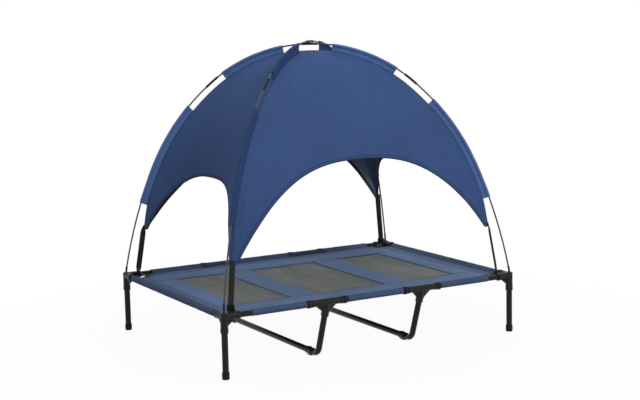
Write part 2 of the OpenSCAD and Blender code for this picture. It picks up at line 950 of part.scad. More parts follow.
for (c = CORNERS) {
    corner_fitting(c);
    corner_leg(c);
    foot_cap(c);
    tee(c);
    support_leg(c);
    support_foot(c);
    canopy_strap(c);
}
for (side = [["front", -1], ["rear", 1]])
    for (part = ["left", "middle", "right"])
        long_rail_part(side[1] * post_y, part);
end_rail(-1);  // end_rail_left
end_rail(1);  // end_rail_right
cross_bar(-1);  // cross_bar_left
cross_bar(1);  // cross_bar_right
sling();
mesh_panel(0);  // mesh_left
mesh_panel(1);  // mesh_middle
mesh_panel(2);  // mesh_right
corner_loops();
strap_buckles();
rods(LOWER, 0);  // lower_pole_rods
rods(UPPER, upper_lift);  // upper_pole_rods
ferrules(LOWER, 0);  // lower_pole_ferrules
ferrules(UPPER, upper_lift);  // upper_pole_ferrules
pole_tips();
sleeves(LOWER, 0);  // lower_pole_sleeves
sleeves(UPPER, upper_lift);  // upper_pole_sleeves
long_gore(0);  // canopy_front
long_gore(180);  // canopy_rear
side_gore(-90);  // canopy_left
side_gore(90);  // canopy_right
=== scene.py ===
"""Cloth, webbing, tees, finishes, light and camera for a raised dog cot with a lift-off canopy.

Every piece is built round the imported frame, in metres, in the frame's own axes: X along
the long sides, Y from the front to the rear, Z up, the origin on the floor.
"""

import json
import math

import bmesh
import bpy
import numpy as np
from mathutils import Matrix, Vector


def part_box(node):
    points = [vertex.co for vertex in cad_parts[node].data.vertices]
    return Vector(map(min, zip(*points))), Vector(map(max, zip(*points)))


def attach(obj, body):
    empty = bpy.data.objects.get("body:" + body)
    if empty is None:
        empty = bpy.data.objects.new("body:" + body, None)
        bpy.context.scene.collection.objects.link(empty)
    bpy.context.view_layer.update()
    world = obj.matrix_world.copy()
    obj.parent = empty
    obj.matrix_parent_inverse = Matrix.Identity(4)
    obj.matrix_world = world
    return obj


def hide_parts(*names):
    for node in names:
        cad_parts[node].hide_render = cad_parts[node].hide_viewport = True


bl_info = {
    "name": "Raised Dog Cot",
    "version": (1, 0, 0),
    "blender": (4, 5, 0),
    "location": "3D View > Sidebar > Dog Cot",
    "description": "Dresses the packed frame of a raised dog cot with a canopy",
    "category": "Object",
}

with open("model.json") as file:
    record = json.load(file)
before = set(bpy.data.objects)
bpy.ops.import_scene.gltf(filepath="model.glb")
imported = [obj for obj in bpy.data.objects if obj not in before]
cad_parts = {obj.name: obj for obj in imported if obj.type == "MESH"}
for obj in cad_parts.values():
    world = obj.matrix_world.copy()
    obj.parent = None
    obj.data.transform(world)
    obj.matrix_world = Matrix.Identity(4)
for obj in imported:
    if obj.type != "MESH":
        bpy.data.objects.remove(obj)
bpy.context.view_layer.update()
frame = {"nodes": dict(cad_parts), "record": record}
NODES = frame["nodes"]

CORNERS = {
    "front_left": (-1, -1),
    "front_right": (1, -1),
    "rear_left": (-1, 1),
    "rear_right": (1, 1),
}
WINDOWS = ("mesh_left", "mesh_middle", "mesh_right")
ALONG_X = np.array([1.0, 0.0, 0.0])
UP = np.array([0.0, 0.0, 1.0])

# The corners as the gores follow each other round, then the two that each pole joins.
ROUND = ("front_left", "front_right", "rear_right", "rear_left")
LOWER = ("rear_left", "front_right")
UPPER = ("front_left", "rear_right")

# Start and end of the two sleeves on each half pole, as lengths from the crossing.
SPANS = {
    "front_left": ((0.100, 0.350), (0.525, 0.955)),
    "front_right": ((0.085, 0.343), (0.520, 0.944)),
    "rear_left": ((0.103, 0.357), (0.538, 0.960)),
    "rear_right": ((0.085, 0.350), (0.525, 0.950)),
}
TUNNEL = 0.0052  # radius of a sleeve round its rod

CANOPY_PITCH = 0.0013  # one thread of the canopy's weave to the next
SLING_PITCH = 0.0016

# Places in a corner's diagonal plane: how far out the tie strap goes through its buckle, and
# the (out, up) place of the buckle's bar, which the corner loop goes round.
HOLD = 0.687
BAR = np.array([0.682, 0.2226])


def middle(node):
    """Middle of a CAD node's box."""
    low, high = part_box(node)
    return (low + high) / 2


def half_wide(node):
    """Half the width of a CAD node's box along X."""
    low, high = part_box(node)
    return (high.x - low.x) / 2


def length(name, value, text):
    """A property that holds a length in metres."""
    return bpy.props.FloatProperty(
        name=name, description=text, default=value, unit="LENGTH", precision=4
    )


def turn(name, value, text):
    """A property that holds an angle, given in degrees."""
    return bpy.props.FloatProperty(
        name=name, description=text, default=math.radians(value), subtype="ANGLE"
    )


def tint(name, value, text):
    """A property that holds a colour."""
    return bpy.props.FloatVectorProperty(
        name=name, description=text, default=value, subtype="COLOR", min=0, max=1
    )


def four(name, values, text):
    """A property that holds one number for each gore or corner, from the front one round."""
    return bpy.props.FloatVectorProperty(
        name=name, description=text, default=values, size=4, precision=4
    )


class DOGCOT_PG_sizes(bpy.types.PropertyGroup):
    """Sizes of the cloth, of the poles that carry it and of the tees."""

    post_x: length("Half length", middle("corner_leg_rear_right").x, "Middle to a corner post along X")
    post_y: length("Half width", middle("corner_leg_rear_right").y, "Middle to a corner post along Y")
    rail_z: length("Rail height", middle("end_rail_right").z, "Height of the rails' axis")
    tee_x: length("Tee", middle("tee_rear_right").x, "Middle to a tee along X")
    post_top: length("Post top", 0.228, "Height at which the poles leave the corner fittings")
    tip_bend: length("Tip bend", 0.08, "Radius of the short bend of a pole's tip")
    pole_lift: length("Pole lift", 0.0093, "How far the upper pole lies above the lower one")
    foot_turn: turn("Foot turn", 10.75, "Lean of a pole where its tip ends")
    side_turn: turn("Side turn", 23.05, "Lean of a pole at its lower joint")
    top_turn: turn("Top turn", 49.8, "Lean of a pole at its upper joint")
    seam_apex: length("Seam drop at the top", 0.025, "Pole to seam where the poles cross")
    seam_side: length("Seam drop", 0.023, "Pole to seam along the sleeves")
    seam_tip: length("Seam drop at a tip", 0.038, "Pole to seam at a canopy tip")
    tips_up: four("Tip heights", (0.164, 0.190, 0.215, 0.186), "Length of pole below each canopy tip")
    edges: four("Edge heights", (0.694, 0.630, 0.718, 0.628), "Height of each gore's edge at its middle")
    pulls: four("Edge pulls", (-0.020, 0.045, 0.036, 0.055), "How far each edge is drawn in; below 0, out")
    bends: four("Edge bends", (2.55, 4.5, 2.38, 2.65), "How squarely each edge drops to its first tip")
    bend_ends: four("Bend ends", (2.55, 4.5, 2.38, 3.30), "How squarely each edge drops to its second tip")
    blunts: four("Blunt tips", (0.018, 0.007, 0.014, 0.022), "Half width of each gore at its first tip")
    blunt_ends: four("Blunt ends", (0.018, 0.007, 0.014, 0.058), "Half width of each gore at its second tip")
    swell: length("Swell", 0.008, "How far the gores stand out between their seams")
    cloth: length("Canopy cloth", 0.0010, "Thickness of the canopy's cloth")
    hem: length("Hem", 0.013, "Width of the canopy's hems")
    sling_cloth: length("Sling cloth", 0.0012, "Thickness of the sling's cloth")
    sling_sag: length("Sag", 0.0055, "How far the sling's middle hangs below its edges")
    sling_lace: length("Rail sleeve", 0.026, "Rail axis to the seam of its sleeve")
    strap: length("Strap", 0.022, "Width of the webbing straps")
    tee_half: length("Tee half length", 0.078, "Half the length of a tee's rail sleeve")
    tee_wall: length("Tee wall", 0.0019, "Wall of a tee's rail sleeve between its rings")
    tee_fin: length("Tee fin", 0.041, "Half width of a tee's fin under its sleeve")
    tee_drop: length("Tee drop", 0.055, "Rail axis to the lower end of a tee's socket")
    tee_lean: turn("Tee lean", 19.5, "Lean of a support's legs")


class DOGCOT_PG_colours(bpy.types.PropertyGroup):
    """Colours of the cloth, the webbing, the plastic and the paint."""

    canopy: tint("Canopy", (0.053, 0.104, 0.262), "Canopy cloth")
    lining: tint("Lining", (0.165, 0.225, 0.320), "Coated inner side of the canopy cloth")
    # The lower and upper sleeves are one cloth in two colours: lighter on the lower pole as painted light
    # shining through it, darker on the upper pole as painted shade.
    sleeve: tint("Lower sleeves", (0.115, 0.205, 0.460), "Sleeves round the lower pole")
    shade: tint("Upper sleeves", (0.033, 0.069, 0.188), "Sleeves round the upper pole")
    sling: tint("Sling", (0.150, 0.230, 0.400), "Sling cloth")
    # Same cloth as the sling, darker as painted shade on the rail sleeves.
    lace: tint("Sling edges", (0.064, 0.103, 0.190), "Sleeves of the sling on the rails")
    mesh: tint("Mesh", (0.142, 0.149, 0.147), "Mesh windows")
    webbing: tint("Webbing", (0.026, 0.026, 0.026), "Straps and bindings")
    tube: tint("Tubes", (0.013, 0.013, 0.0125), "Painted tubes")
    plastic: tint("Fittings", (0.009, 0.009, 0.0085), "Moulded fittings")
    rubber: tint("Caps", (0.010, 0.010, 0.010), "Foot caps")
    rod: tint("Poles", (0.060, 0.063, 0.068), "Glass fibre poles")


def sizes():
    """The cot's sizes, as the panel has them."""
    return bpy.context.scene.dogcot_sizes


def colours():
    """The cot's colours, as the panel has them."""
    return bpy.context.scene.dogcot_colours


# ---------------------------------------------------------------- shader maths


class Wire:
    """A node's socket. Arithmetic on it adds Math nodes."""

    def __init__(self, nodes, socket):
        self.nodes = nodes
        self.socket = socket

    def math(self, operation, *values):
        return self.nodes.node("ShaderNodeMath", {"operation": operation}, dict(enumerate(values)))

    def __add__(self, other):
        return self.math("ADD", self, other)

    def __sub__(self, other):
        return self.math("SUBTRACT", self, other)

    def __rsub__(self, other):
        return self.math("SUBTRACT", other, self)

    def __mul__(self, other):
        return self.math("MULTIPLY", self, other)

    def __gt__(self, other):
        return self.math("GREATER_THAN", self, other)

    def __lt__(self, other):
        return self.math("LESS_THAN", self, other)

    def __abs__(self):
        return self.math("ABSOLUTE", self)

    def __mod__(self, other):
        return self.math("FLOORED_MODULO", self, other)

    def sin(self):
        return self.math("SINE", self)

    def most(self, other):
        return self.math("MAXIMUM", self, other)

    def least(self, other):
        return self.math("MINIMUM", self, other)

    __radd__ = __add__
    __rmul__ = __mul__


class Nodes:
    """A node tree in the making, with one method for any node and its sockets."""

    def __init__(self, tree):
        self.tree = tree

    def node(self, kind, settings=None, sockets=None, out=0):
        made = self.tree.nodes.new(kind)
        for name, value in (settings or {}).items():
            setattr(made, name, value)
        for name, value in (sockets or {}).items():
            if isinstance(value, Wire):
                self.tree.links.new(value.socket, made.inputs[name])
            else:
                made.inputs[name].default_value = value
        return Wire(self, made.outputs[out])

    def ranged(self, value, start=0, stop=1, low=0, high=1, kind="LINEAR"):
        """The value, with its range from start to stop carried over to that from low to high."""
        sockets = {0: value, 1: start, 2: stop, 3: low, 4: high}
        return self.node("ShaderNodeMapRange", {"interpolation_type": kind}, sockets)

    def seen(self):
        """1 for rays that show things, be it straight, mirrored or let through, and 0 for the rest."""
        rays = self.node("ShaderNodeLightPath").socket.node.outputs
        names = ("Is Camera Ray", "Is Glossy Ray", "Is Transmission Ray")
        straight, mirrored, through = (Wire(self, rays[name]) for name in names)
        return straight.most(mirrored).most(through)


class Finish(Nodes):
    """A material in the making. The values given with its name are even all over it."""

    def __init__(self, name, **even):
        self.material = bpy.data.materials.new(name)
        self.material.use_nodes = True
        super().__init__(self.material.node_tree)
        self.shader = self.tree.nodes["Principled BSDF"]
        for socket, value in even.items():
            self.shader.inputs[socket.replace("_", " ")].default_value = value

    def place(self):
        """The place on the piece, in its own metres."""
        return self.node("ShaderNodeTexCoord", out="Object")

    def split(self, vector):
        """A vector's three numbers."""
        made = self.node("ShaderNodeSeparateXYZ", None, {0: vector}).socket.node
        return [Wire(self, socket) for socket in made.outputs]

    def flat(self):
        """The piece's own map in metres: along the cloth, then across it."""
        return self.split(self.node("ShaderNodeUVMap", {"uv_map": "UVMap"}))[:2]

    def noise(self, vector, scale, detail=3.0, stretch=(1, 1, 1)):
        moved = self.node("ShaderNodeMapping", None, {"Vector": vector, "Scale": stretch})
        return self.node("ShaderNodeTexNoise", None, {"Vector": moved, "Scale": scale, "Detail": detail})

    def mix(self, share, first, second):
        settings = {"data_type": "RGBA", "clamp_factor": True}
        return self.node("ShaderNodeMix", settings, {0: share, 6: first, 7: second}, out=2)

    def shades(self, share, colour, dark, light):
        """The colour from dark to light times itself, as share goes from 0 to 1."""
        return self.mix(share, dyed(colour, dark), dyed(colour, light))

    def bump(self, height, depth):
        return self.node("ShaderNodeBump", None, {"Height": height, "Strength": 1.0, "Distance": depth})

    def feed(self, **wires):
        """Links wires to the shader's sockets, named with _ for a space, and gives the material back."""
        for socket, wire in wires.items():
            self.tree.links.new(wire.socket, self.shader.inputs[socket.replace("_", " ")])
        return self.material


def dyed(colour, times, more=0.0):
    """The colour times a number and a little more, with its alpha."""
    return [c * times + more for c in colour] + [1]


def weave(along, across, pitch):
    """Height of a plain weave, 0 to 1: round threads that pass over and under in turn."""
    a, b = (along * (math.pi / pitch)).sin(), (across * (math.pi / pitch)).sin()
    over = (a * b) > 0
    return abs(a) * over + abs(b) * (1 - over)


def stitches(along, distance, step=0.0034, width=0.0009):
    """1 on the stitches of a row that lies where distance is 0, and 0 in their gaps and elsewhere."""
    near = abs(distance) < width / 2
    return near * ((along % step) < step * 0.66)


def cloth_finish(name, colour, pitch, rows=(), columns=(), marked=1.0, groove=0.0016, rim=None):
    """Woven polyester: a plain weave, slubs, slow shade changes, rows of stitches and a soft sheen.

    Each row lies in a groove of the given half width, where the colour darkens as painted shade.
    rim is half the length and width of a sheet whose colour darkens over its last few
    centimetres as painted shade.
    """
    f = Finish(name, Roughness=0.82, Sheen_Weight=0.06, Sheen_Roughness=0.45, Specular_IOR_Level=0.12)
    f.shader.inputs["Sheen Tint"].default_value = [min(1, c * 3.0) for c in colour] + [1]
    along, across = f.flat()
    flat = f.node("ShaderNodeUVMap", {"uv_map": "UVMap"})
    threads = weave(along, across, pitch)
    slubs = f.noise(flat, 60, 2.0, (0.12, 1, 1)) * 0.5 + f.noise(flat, 60, 2.0, (1, 0.12, 1)) * 0.5
    slow = f.noise(f.place(), 5.0, 3.0)
    shade = f.ranged(slubs * 0.45 + slow * 0.4 + threads * 0.15, 0.3, 0.7)
    tone = f.shades(shade, colour, 0.84, 1.16)
    height = threads * 0.22 + slubs * 0.5
    seams = [(along, across - distance) for distance in rows]
    seams += [(across, along - distance) for distance in columns]
    for way, off in seams:
        row = stitches(way, off)
        tone = f.mix(row * marked, tone, dyed(colour, 1.25, 0.005))
        # Painted shade: the colour darkens in the groove along the row, beside its stitches.
        groove_shade = abs(off) < groove
        tone = f.mix(groove_shade * (0.5 * marked) * (1 - row), tone, dyed(colour, 0.3))
        height = height + row * 0.9 * marked - groove_shade * 0.5 * marked
    # Painted shade: the sheet's colour darkens over its last few centimetres, towards the rails.
    if rim:
        inward = (rim[0] - abs(along)).least(rim[1] - abs(across))
        share = f.ranged(inward, 0, 0.055, 0.2, 1.0, "SMOOTHSTEP")
        tone = f.mix(share, dyed(colour, 0.55), tone)
    rough = f.ranged(slow, low=0.76, high=0.90)
    return f.feed(Base_Color=tone, Roughness=rough, Normal=f.bump(height, 0.0006))


def webbing_finish(name, colour):
    """Flat webbing: herringbone ribs along the strap, a tight edge and worn high threads."""
    f = Finish(name, Roughness=0.70, Sheen_Weight=0.08, Sheen_Roughness=0.4, Specular_IOR_Level=0.15)
    along, across = f.flat()
    ribs = (across * (2 * math.pi / 0.0028)).sin()
    picks = ((along + abs(across % 0.0056 - 0.0028)) * (2 * math.pi / 0.0016)).sin()
    wear = f.noise(f.place(), 90, 4.0)
    height = ribs * 0.5 + picks * 0.35 + wear * 0.3
    tone = f.shades(f.ranged(height * 0.35 + wear, 0.1), colour, 0.7, 1.9)
    rough = f.ranged(wear, low=0.62, high=0.8)
    return f.feed(Base_Color=tone, Roughness=rough, Normal=f.bump(height, 0.0004))


def net_finish(name, colour):
    """Open mesh: two sets of coated threads with square holes, a sheen and slow shade changes."""
    f = Finish(name, Roughness=0.6, Sheen_Weight=0.05, Specular_IOR_Level=0.2)
    along, across = f.flat()
    pitch = 0.0026
    a, b = abs((along * (math.pi / pitch)).sin()), abs((across * (math.pi / pitch)).sin())
    gap = 0.42
    thread = (a > gap).most(b > gap)
    slow = f.noise(f.place(), 9.0, 3.0, (1, 0.3, 1))
    fine = f.noise(f.place(), 160.0, 2.0)
    tone = f.shades(f.ranged(slow * 0.75 + fine * 0.25, 0.35, 0.65), colour, 0.62, 1.5)
    rough = f.ranged(slow, low=0.52, high=0.70)
    return f.feed(Base_Color=tone, Roughness=rough, Alpha=thread, Normal=f.bump(a.most(b), 0.0005))


def paint_finish(name, colour):
    """Powder coat on tube: orange peel, a few rubbed patches and dust that dulls the gloss."""
    f = Finish(name, Roughness=0.20, Specular_IOR_Level=0.15)
    place = f.place()
    peel = f.noise(place, 520, 2.0)
    rubbed = f.ranged(f.noise(place, 38, 6.0), 0.56, 0.72)
    dust = f.noise(place, 11, 4.0)
    tone = f.mix(rubbed * 0.3, f.shades(dust, colour, 0.8, 1.3), dyed(colour, 2.4, 0.004))
    rough = f.ranged(dust * 0.7 + rubbed * 0.3, low=0.12, high=0.28)
    return f.feed(Base_Color=tone, Roughness=rough, Normal=f.bump(peel, 0.00012))


def moulded_finish(name, colour, rough_from, rough_to, grain, parting=None):
    """Moulded plastic: spark grain, flow streaks, scuffs and, if asked for, a parting line."""
    f = Finish(name, Roughness=0.5, Specular_IOR_Level=0.20)
    place = f.place()
    sand = f.noise(place, grain, 2.0)
    flow = f.noise(place, 16, 4.0, (1, 1, 0.3))
    scuff = f.ranged(f.noise(place, 70, 7.0), 0.60, 0.75)
    tone = f.mix(scuff * 0.3, f.shades(flow, colour, 0.75, 1.35), dyed(colour, 2.4, 0.004))
    height = sand * 0.5 + flow * 0.2
    if parting is not None:
        line = abs(f.split(place)[2] - parting) < 0.0003
        height = height + line * 0.8
        tone = f.mix(line * 0.35, tone, dyed(colour, 2.4, 0.01))
    rough = f.ranged(sand * 0.5 + flow * 0.5, low=rough_from, high=rough_to)
    return f.feed(Base_Color=tone, Roughness=rough, Normal=f.bump(height, 0.0002))


def rod_finish(name, colour):
    """Drawn glass fibre: fine fibres along the rod, under clear resin."""
    f = Finish(name, Roughness=0.35, Specular_IOR_Level=0.45)
    place = f.place()
    fibres = f.noise(place, 900, 3.0, (1, 1, 0.04))
    slow = f.noise(place, 14, 3.0)
    tone = f.shades(f.ranged(fibres * 0.6 + slow * 0.4, 0.3, 0.7), colour, 0.7, 1.3)
    rough = f.ranged(fibres, low=0.16, high=0.34)
    return f.feed(Base_Color=tone, Roughness=rough, Normal=f.bump(fibres, 0.0001))


# ---------------------------------------------------------------- meshes


def quads(rows, cols, ring=False):
    """Quads between neighbours of a grid of points, row by row; ring joins each row's two ends."""
    i = np.arange(rows - 1)[:, None]
    j = np.arange(cols if ring else cols - 1)[None, :]
    k = (j + 1) % cols
    corners = (i * cols + j, i * cols + k, (i + 1) * cols + k, (i + 1) * cols + j)
    return np.stack(np.broadcast_arrays(*corners), -1)


def mapped(along, across):
    """A grid's own map, from lengths along it and across it."""
    return np.stack(np.broadcast_arrays(along, across), -1)


def spaced(start, end, step):
    """Even places from start to end, about a step apart."""
    return np.linspace(start, end, max(2, int((end - start) / step) + 1))


def polar(angle):
    """Unit vectors at some angles, in a plane."""
    return np.stack([np.cos(angle), np.sin(angle)], -1)


class Piece:
    """Gathers grids of points into one mesh, with a map in metres."""

    def __init__(self):
        self.points, self.maps, self.faces, self.count = [], [], [], 0

    def grid(self, points, flat, keep=None, ring=False, capped=False):
        """points is rows x cols x 3, flat is rows x cols x 2, keep says which cells stay."""
        rows, cols = points.shape[:2]
        cells = quads(rows, cols, ring)
        cells = cells.reshape(-1, 4) if keep is None else cells[keep]
        self.faces += (cells + self.count).tolist()
        if capped:
            first = np.arange(cols) + self.count
            self.faces += [first[::-1].tolist(), (first + (rows - 1) * cols).tolist()]
        self.points.append(points.reshape(-1, 3))
        self.maps.append(flat.reshape(-1, 2))
        self.count += rows * cols
        return self

    def made(
        self, name, material, body, slot, replaced=(), weld=False, outward=False, wall=0.0, offset=-1.0
    ):
        """Makes the object, finished and riding on its body."""
        mesh = bpy.data.meshes.new(name)
        points, flat = np.concatenate(self.points), np.concatenate(self.maps)
        mesh.from_pydata(points.tolist(), [], self.faces)
        corner = np.zeros(len(mesh.loops), np.int32)
        mesh.loops.foreach_get("vertex_index", corner)
        mesh.uv_layers.new(name="UVMap").data.foreach_set("uv", flat[corner].astype(np.float32).ravel())
        if weld or outward:
            work = bmesh.new()
            work.from_mesh(mesh)
            if weld:
                bmesh.ops.remove_doubles(work, verts=work.verts, dist=1e-6)
            if outward:
                bmesh.ops.recalc_face_normals(work, faces=work.faces)
            work.to_mesh(mesh)
            work.free()
        mesh.polygons.foreach_set("use_smooth", np.ones(len(mesh.polygons), bool))
        mesh.materials.append(material)
        made = bpy.data.objects.new(name, mesh)
        bpy.context.scene.collection.objects.link(made)
        if wall:
            thick = made.modifiers.new("Wall", "SOLIDIFY")
            thick.thickness, thick.offset, thick.use_even_offset = wall, offset, True
        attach(made, body)
        if replaced:
            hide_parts(*replaced)
        return made


def run(points, axis=0):
    """Length along a grid's rows or columns, from their start."""
    step = np.linalg.norm(np.diff(points, axis=axis), axis=-1)
    start = np.zeros_like(np.take(step, [0], axis))
    return np.concatenate([start, np.cumsum(step, axis)], axis)


def diagonal(corner):
    """Unit vectors out along a corner's diagonal and across it."""
    s, (cx, cy) = sizes(), CORNERS[corner]
    out = np.array([cx * s.post_x, cy * s.post_y, 0.0])
    out /= np.linalg.norm(out)
    return out, np.array([-out[1], out[0], 0.0])


# ---------------------------------------------------------------- poles and seams


class Pole:
    """Centre line of half a pole: four tangent arcs.

    Their lean grows from 0 at the post to 90 degrees at the top. Each of the three upper arcs is
    one rod long. A place is named by its length from the crossing.
    """

    def __init__(self):
        s = sizes()
        self.turns = np.array([0, s.foot_turn, s.side_turn, s.top_turn, math.pi / 2])
        self.reach = math.hypot(s.post_x, s.post_y)
        fall = np.cos(self.turns[:-1]) - np.cos(self.turns[1:])
        bend = np.diff(self.turns)
        self.rod = (self.reach - s.tip_bend * fall[0]) / (fall[1:] / bend[1:]).sum()
        self.radii = np.concatenate([[s.tip_bend], self.rod / bend[1:]])
        rise = np.diff(np.sin(self.turns))
        step = self.radii[:, None] * np.stack([-fall, rise], 1)
        knots = np.array([self.reach, s.post_top]) + np.concatenate([[[0, 0]], np.cumsum(step, 0)])
        self.centres = knots[:-1] - self.radii[:, None] * polar(self.turns)[:-1]
        self.ends = self.rod * np.array([3.0, 3.0, 2.0, 1.0]) + [s.tip_bend * bend[0], 0, 0, 0]
        self.tips = dict(zip(ROUND, (self.ends[0] - up for up in s.tips_up)))
        self.deep = min(self.tips.values()) + 0.04

    def lean(self, t):
        """Number of the arc and the angle on it at length t."""
        arc = np.clip(3 - np.floor(t / self.rod).astype(int), 0, 3)
        return arc, self.turns[arc] + (self.ends[arc] - t) / self.radii[arc]

    def inside(self, t, inset=0.0):
        """(out, up) of the point that lies inset below the pole, towards the centre of its arc."""
        arc, angle = self.lean(np.asarray(t, float))
        return self.centres[arc] + (self.radii[arc] - inset)[:, None] * polar(angle)

    def seam(self, t):
        """(out, up) of the canopy's seam: close under the pole, deeper at the crossing and at a tip."""
        s = sizes()
        crossing, low = 0.1, 0.95
        top = (s.seam_apex - s.seam_side) * np.clip(1 - t / crossing, 0, 1) ** 2
        foot = (s.seam_tip - s.seam_side) * np.clip((t - low) / (self.deep - low), 0, 1)
        return self.inside(t, s.seam_side + top + foot)

    def line(self, corner):
        """(out, up) points of the seam from the crossing down to a corner's tip."""
        return self.seam(np.linspace(0, self.tips[corner], 600))


def turned(points, quarter):
    """Points turned by quarter turns about Z."""
    c, s = [(1, 0), (0, 1), (-1, 0), (0, -1)][quarter]
    x, y, z = np.moveaxis(points, -1, 0)
    return np.stack([c * x - s * y, s * x + c * y, z], -1)


class Gore:
    """One of the canopy's four gores: worked out facing -Y, then turned by quarter turns to its own side.

    u runs from tip to tip and v from the seam down to the edge. The edge drops from its middle
    by a power of u, to a tip that is a little blunt. At each height the cloth runs level between
    the two seams. It is drawn in by the square of v, and it swells out by half a sine wave over a
    power of v; both fade as 1 less the square of u. Small folds fan out from the tips and the top,
    as sine waves under bell curves, and the seam puckers. The two tips may differ in height, in
    bluntness and in the power by which the edge drops to them.
    """

    def __init__(self, quarter, pole):
        s = sizes()
        self.quarter, self.pole = quarter, pole
        self.side = quarter % 2 == 1
        self.half, self.depth = (s.post_y, s.post_x) if self.side else (s.post_x, s.post_y)
        self.edge, self.pull, self.swell = s.edges[quarter], s.pulls[quarter], s.swell
        self.lines = [pole.line(ROUND[(quarter + k) % 4]) for k in (0, 1)]
        self.bends = (s.bends[quarter], s.bend_ends[quarter])
        self.blunts = (s.blunts[quarter], s.blunt_ends[quarter])

    def towards(self, u, v, line, bend, blunt):
        """The gore's points as they would be if both of its tips were the same one."""
        reach, (tip_s, tip_z) = self.pole.reach, line[-1]
        away = np.abs(u)
        top = np.interp(away * tip_s, line[:, 0], line[:, 1])
        share = np.minimum(away / (1 - blunt / (self.half * tip_s / reach)), 1)
        z = top + (self.edge - (self.edge - tip_z) * share**bend - top) * v
        out = np.interp(-z, -line[:, 1], line[:, 0])
        fade, fan = 1 - u * u, 0.35
        y = self.pull * fade * v * v - self.depth * out / reach
        belly = -self.swell * np.sin(np.pi * v**0.8) * fade
        near_tip = np.exp(-(((1 - away) / 0.22) ** 2)) * np.clip((1 - away) / 0.08, 0, 1)
        near_top = np.exp(-((np.hypot(u, (top - z) / fan) / fan) ** 2)) * np.clip(4 * v, 0, 1)
        folds = 0.0014 * np.sin(v * 17 + 2.2 * np.sign(u)) * near_tip * np.clip(6 * v * (1 - v), 0, 1)
        folds = folds + 0.0012 * np.sin(u * 46 + 1.3) * near_top * (1 - v)
        pucker = 0.0006 * np.sin(u * 170) * np.exp(-v * 26) * np.clip(v * 60, 0, 1) * (1 - away**8)
        return np.stack([u * self.half * tip_s / reach, y + belly + folds + pucker, z], -1)

    def facing(self, u, v):
        """Points of the gore while it faces -Y."""
        left, right = (self.towards(u, v, *tip) for tip in zip(self.lines, self.bends, self.blunts))
        return np.where(u[..., None] < 0, left, right)

    def normals(self, u, v):
        """Outward unit normals of the gore while it faces -Y, from small steps along u and v."""
        step = 2e-3
        du = self.facing(np.minimum(u + step, 1), v) - self.facing(np.maximum(u - step, -1), v)
        dv = self.facing(u, np.minimum(v + step, 1)) - self.facing(u, np.maximum(v - step, 0))
        normal = np.cross(dv, du)
        normal /= np.maximum(np.linalg.norm(normal, axis=-1, keepdims=True), 1e-12)
        return normal * np.where(normal[..., 1:2] > 0, -1, 1)


def add_canopy(gores):
    """The canopy's cover: four gores that share their points along the seams, and so one sheet.

    Returns it with the area of its cells and the lengths of its two spreads over the top. Places
    lie closer near the tips, by the sine of u's angle, and near the seam, by a power of v.
    """
    s, piece, area = sizes(), Piece(), 0.0
    u = np.sin(np.linspace(np.pi / 2, -np.pi / 2, 97))[None, :]
    v = (np.linspace(0, 1, 49) ** 1.15)[:, None]
    u, v = np.broadcast_arrays(u, v)
    for gore in gores:
        points = gore.facing(u, v)
        piece.grid(turned(points, gore.quarter), mapped(points[..., 0], run(points)))
        down, across = np.diff(points, axis=0)[:, :-1], np.diff(points, axis=1)[:-1]
        area += np.linalg.norm(np.cross(down, across), axis=-1).sum()
    seam = max(float(run(line)[-1]) for gore in gores for line in gore.lines)
    reach = math.hypot(s.post_x, s.post_y)
    return piece, float(area), [2 * seam * k / reach for k in (s.post_x, s.post_y)]


def hem_grid(gore, section, ends=0.992):
    """A band folded round a gore's edge, carried along it.

    section holds (distance in from the edge, height off the cloth) for each point of its outline.
    Where the edge is steep, the band reaches further up the cloth, so that its width stays. drop
    is the cloth's length per unit of v at the edge, and level is the cosine of the edge's slope.
    """
    u = (ends * np.sin(np.linspace(-np.pi / 2, np.pi / 2, 161)))[:, None]
    step = 0.04
    edge = gore.facing(u, np.ones_like(u))
    drop = np.linalg.norm(edge - gore.facing(u, np.full_like(u, 1 - step)), axis=-1) / step
    ahead = np.gradient(edge[:, 0], axis=0)
    level = np.hypot(ahead[:, 0], ahead[:, 1]) / np.linalg.norm(ahead, axis=1)
    level = np.convolve(np.pad(level, 2, mode="edge"), np.ones(5) / 5, mode="valid")
    steep = np.maximum(level, 0.3)[:, None]
    v = np.clip(1 - section[None, :, 0] / np.maximum(drop * steep, 1e-4), 0.03, 1)
    u, v = np.broadcast_arrays(u, v)
    points = gore.facing(u, v) + gore.normals(u, v) * section[None, :, 1:]
    points = points + np.minimum(section[None, :, :1], 0) * UP
    return turned(points, gore.quarter), mapped(run(edge[:, 0])[:, None], section[:, 0])


def folded(width_out, width_in, lift, wrap):
    """Outline of a band folded round an edge: up the outside, back down and up the inside."""
    nose, soft, thin = -0.0009, 0.0004, 0.6
    outer = np.stack([np.linspace(0, width_out, 5), np.full(5, lift)], 1)
    outer[-1, 1] = lift * thin
    inner = np.stack([np.linspace(width_in, 0, 5), np.full(5, -lift - wrap)], 1)
    inner[0, 1] = -lift * thin - wrap
    return np.concatenate([outer, inner, [[nose, -lift - wrap + soft], [nose, lift - soft]]])


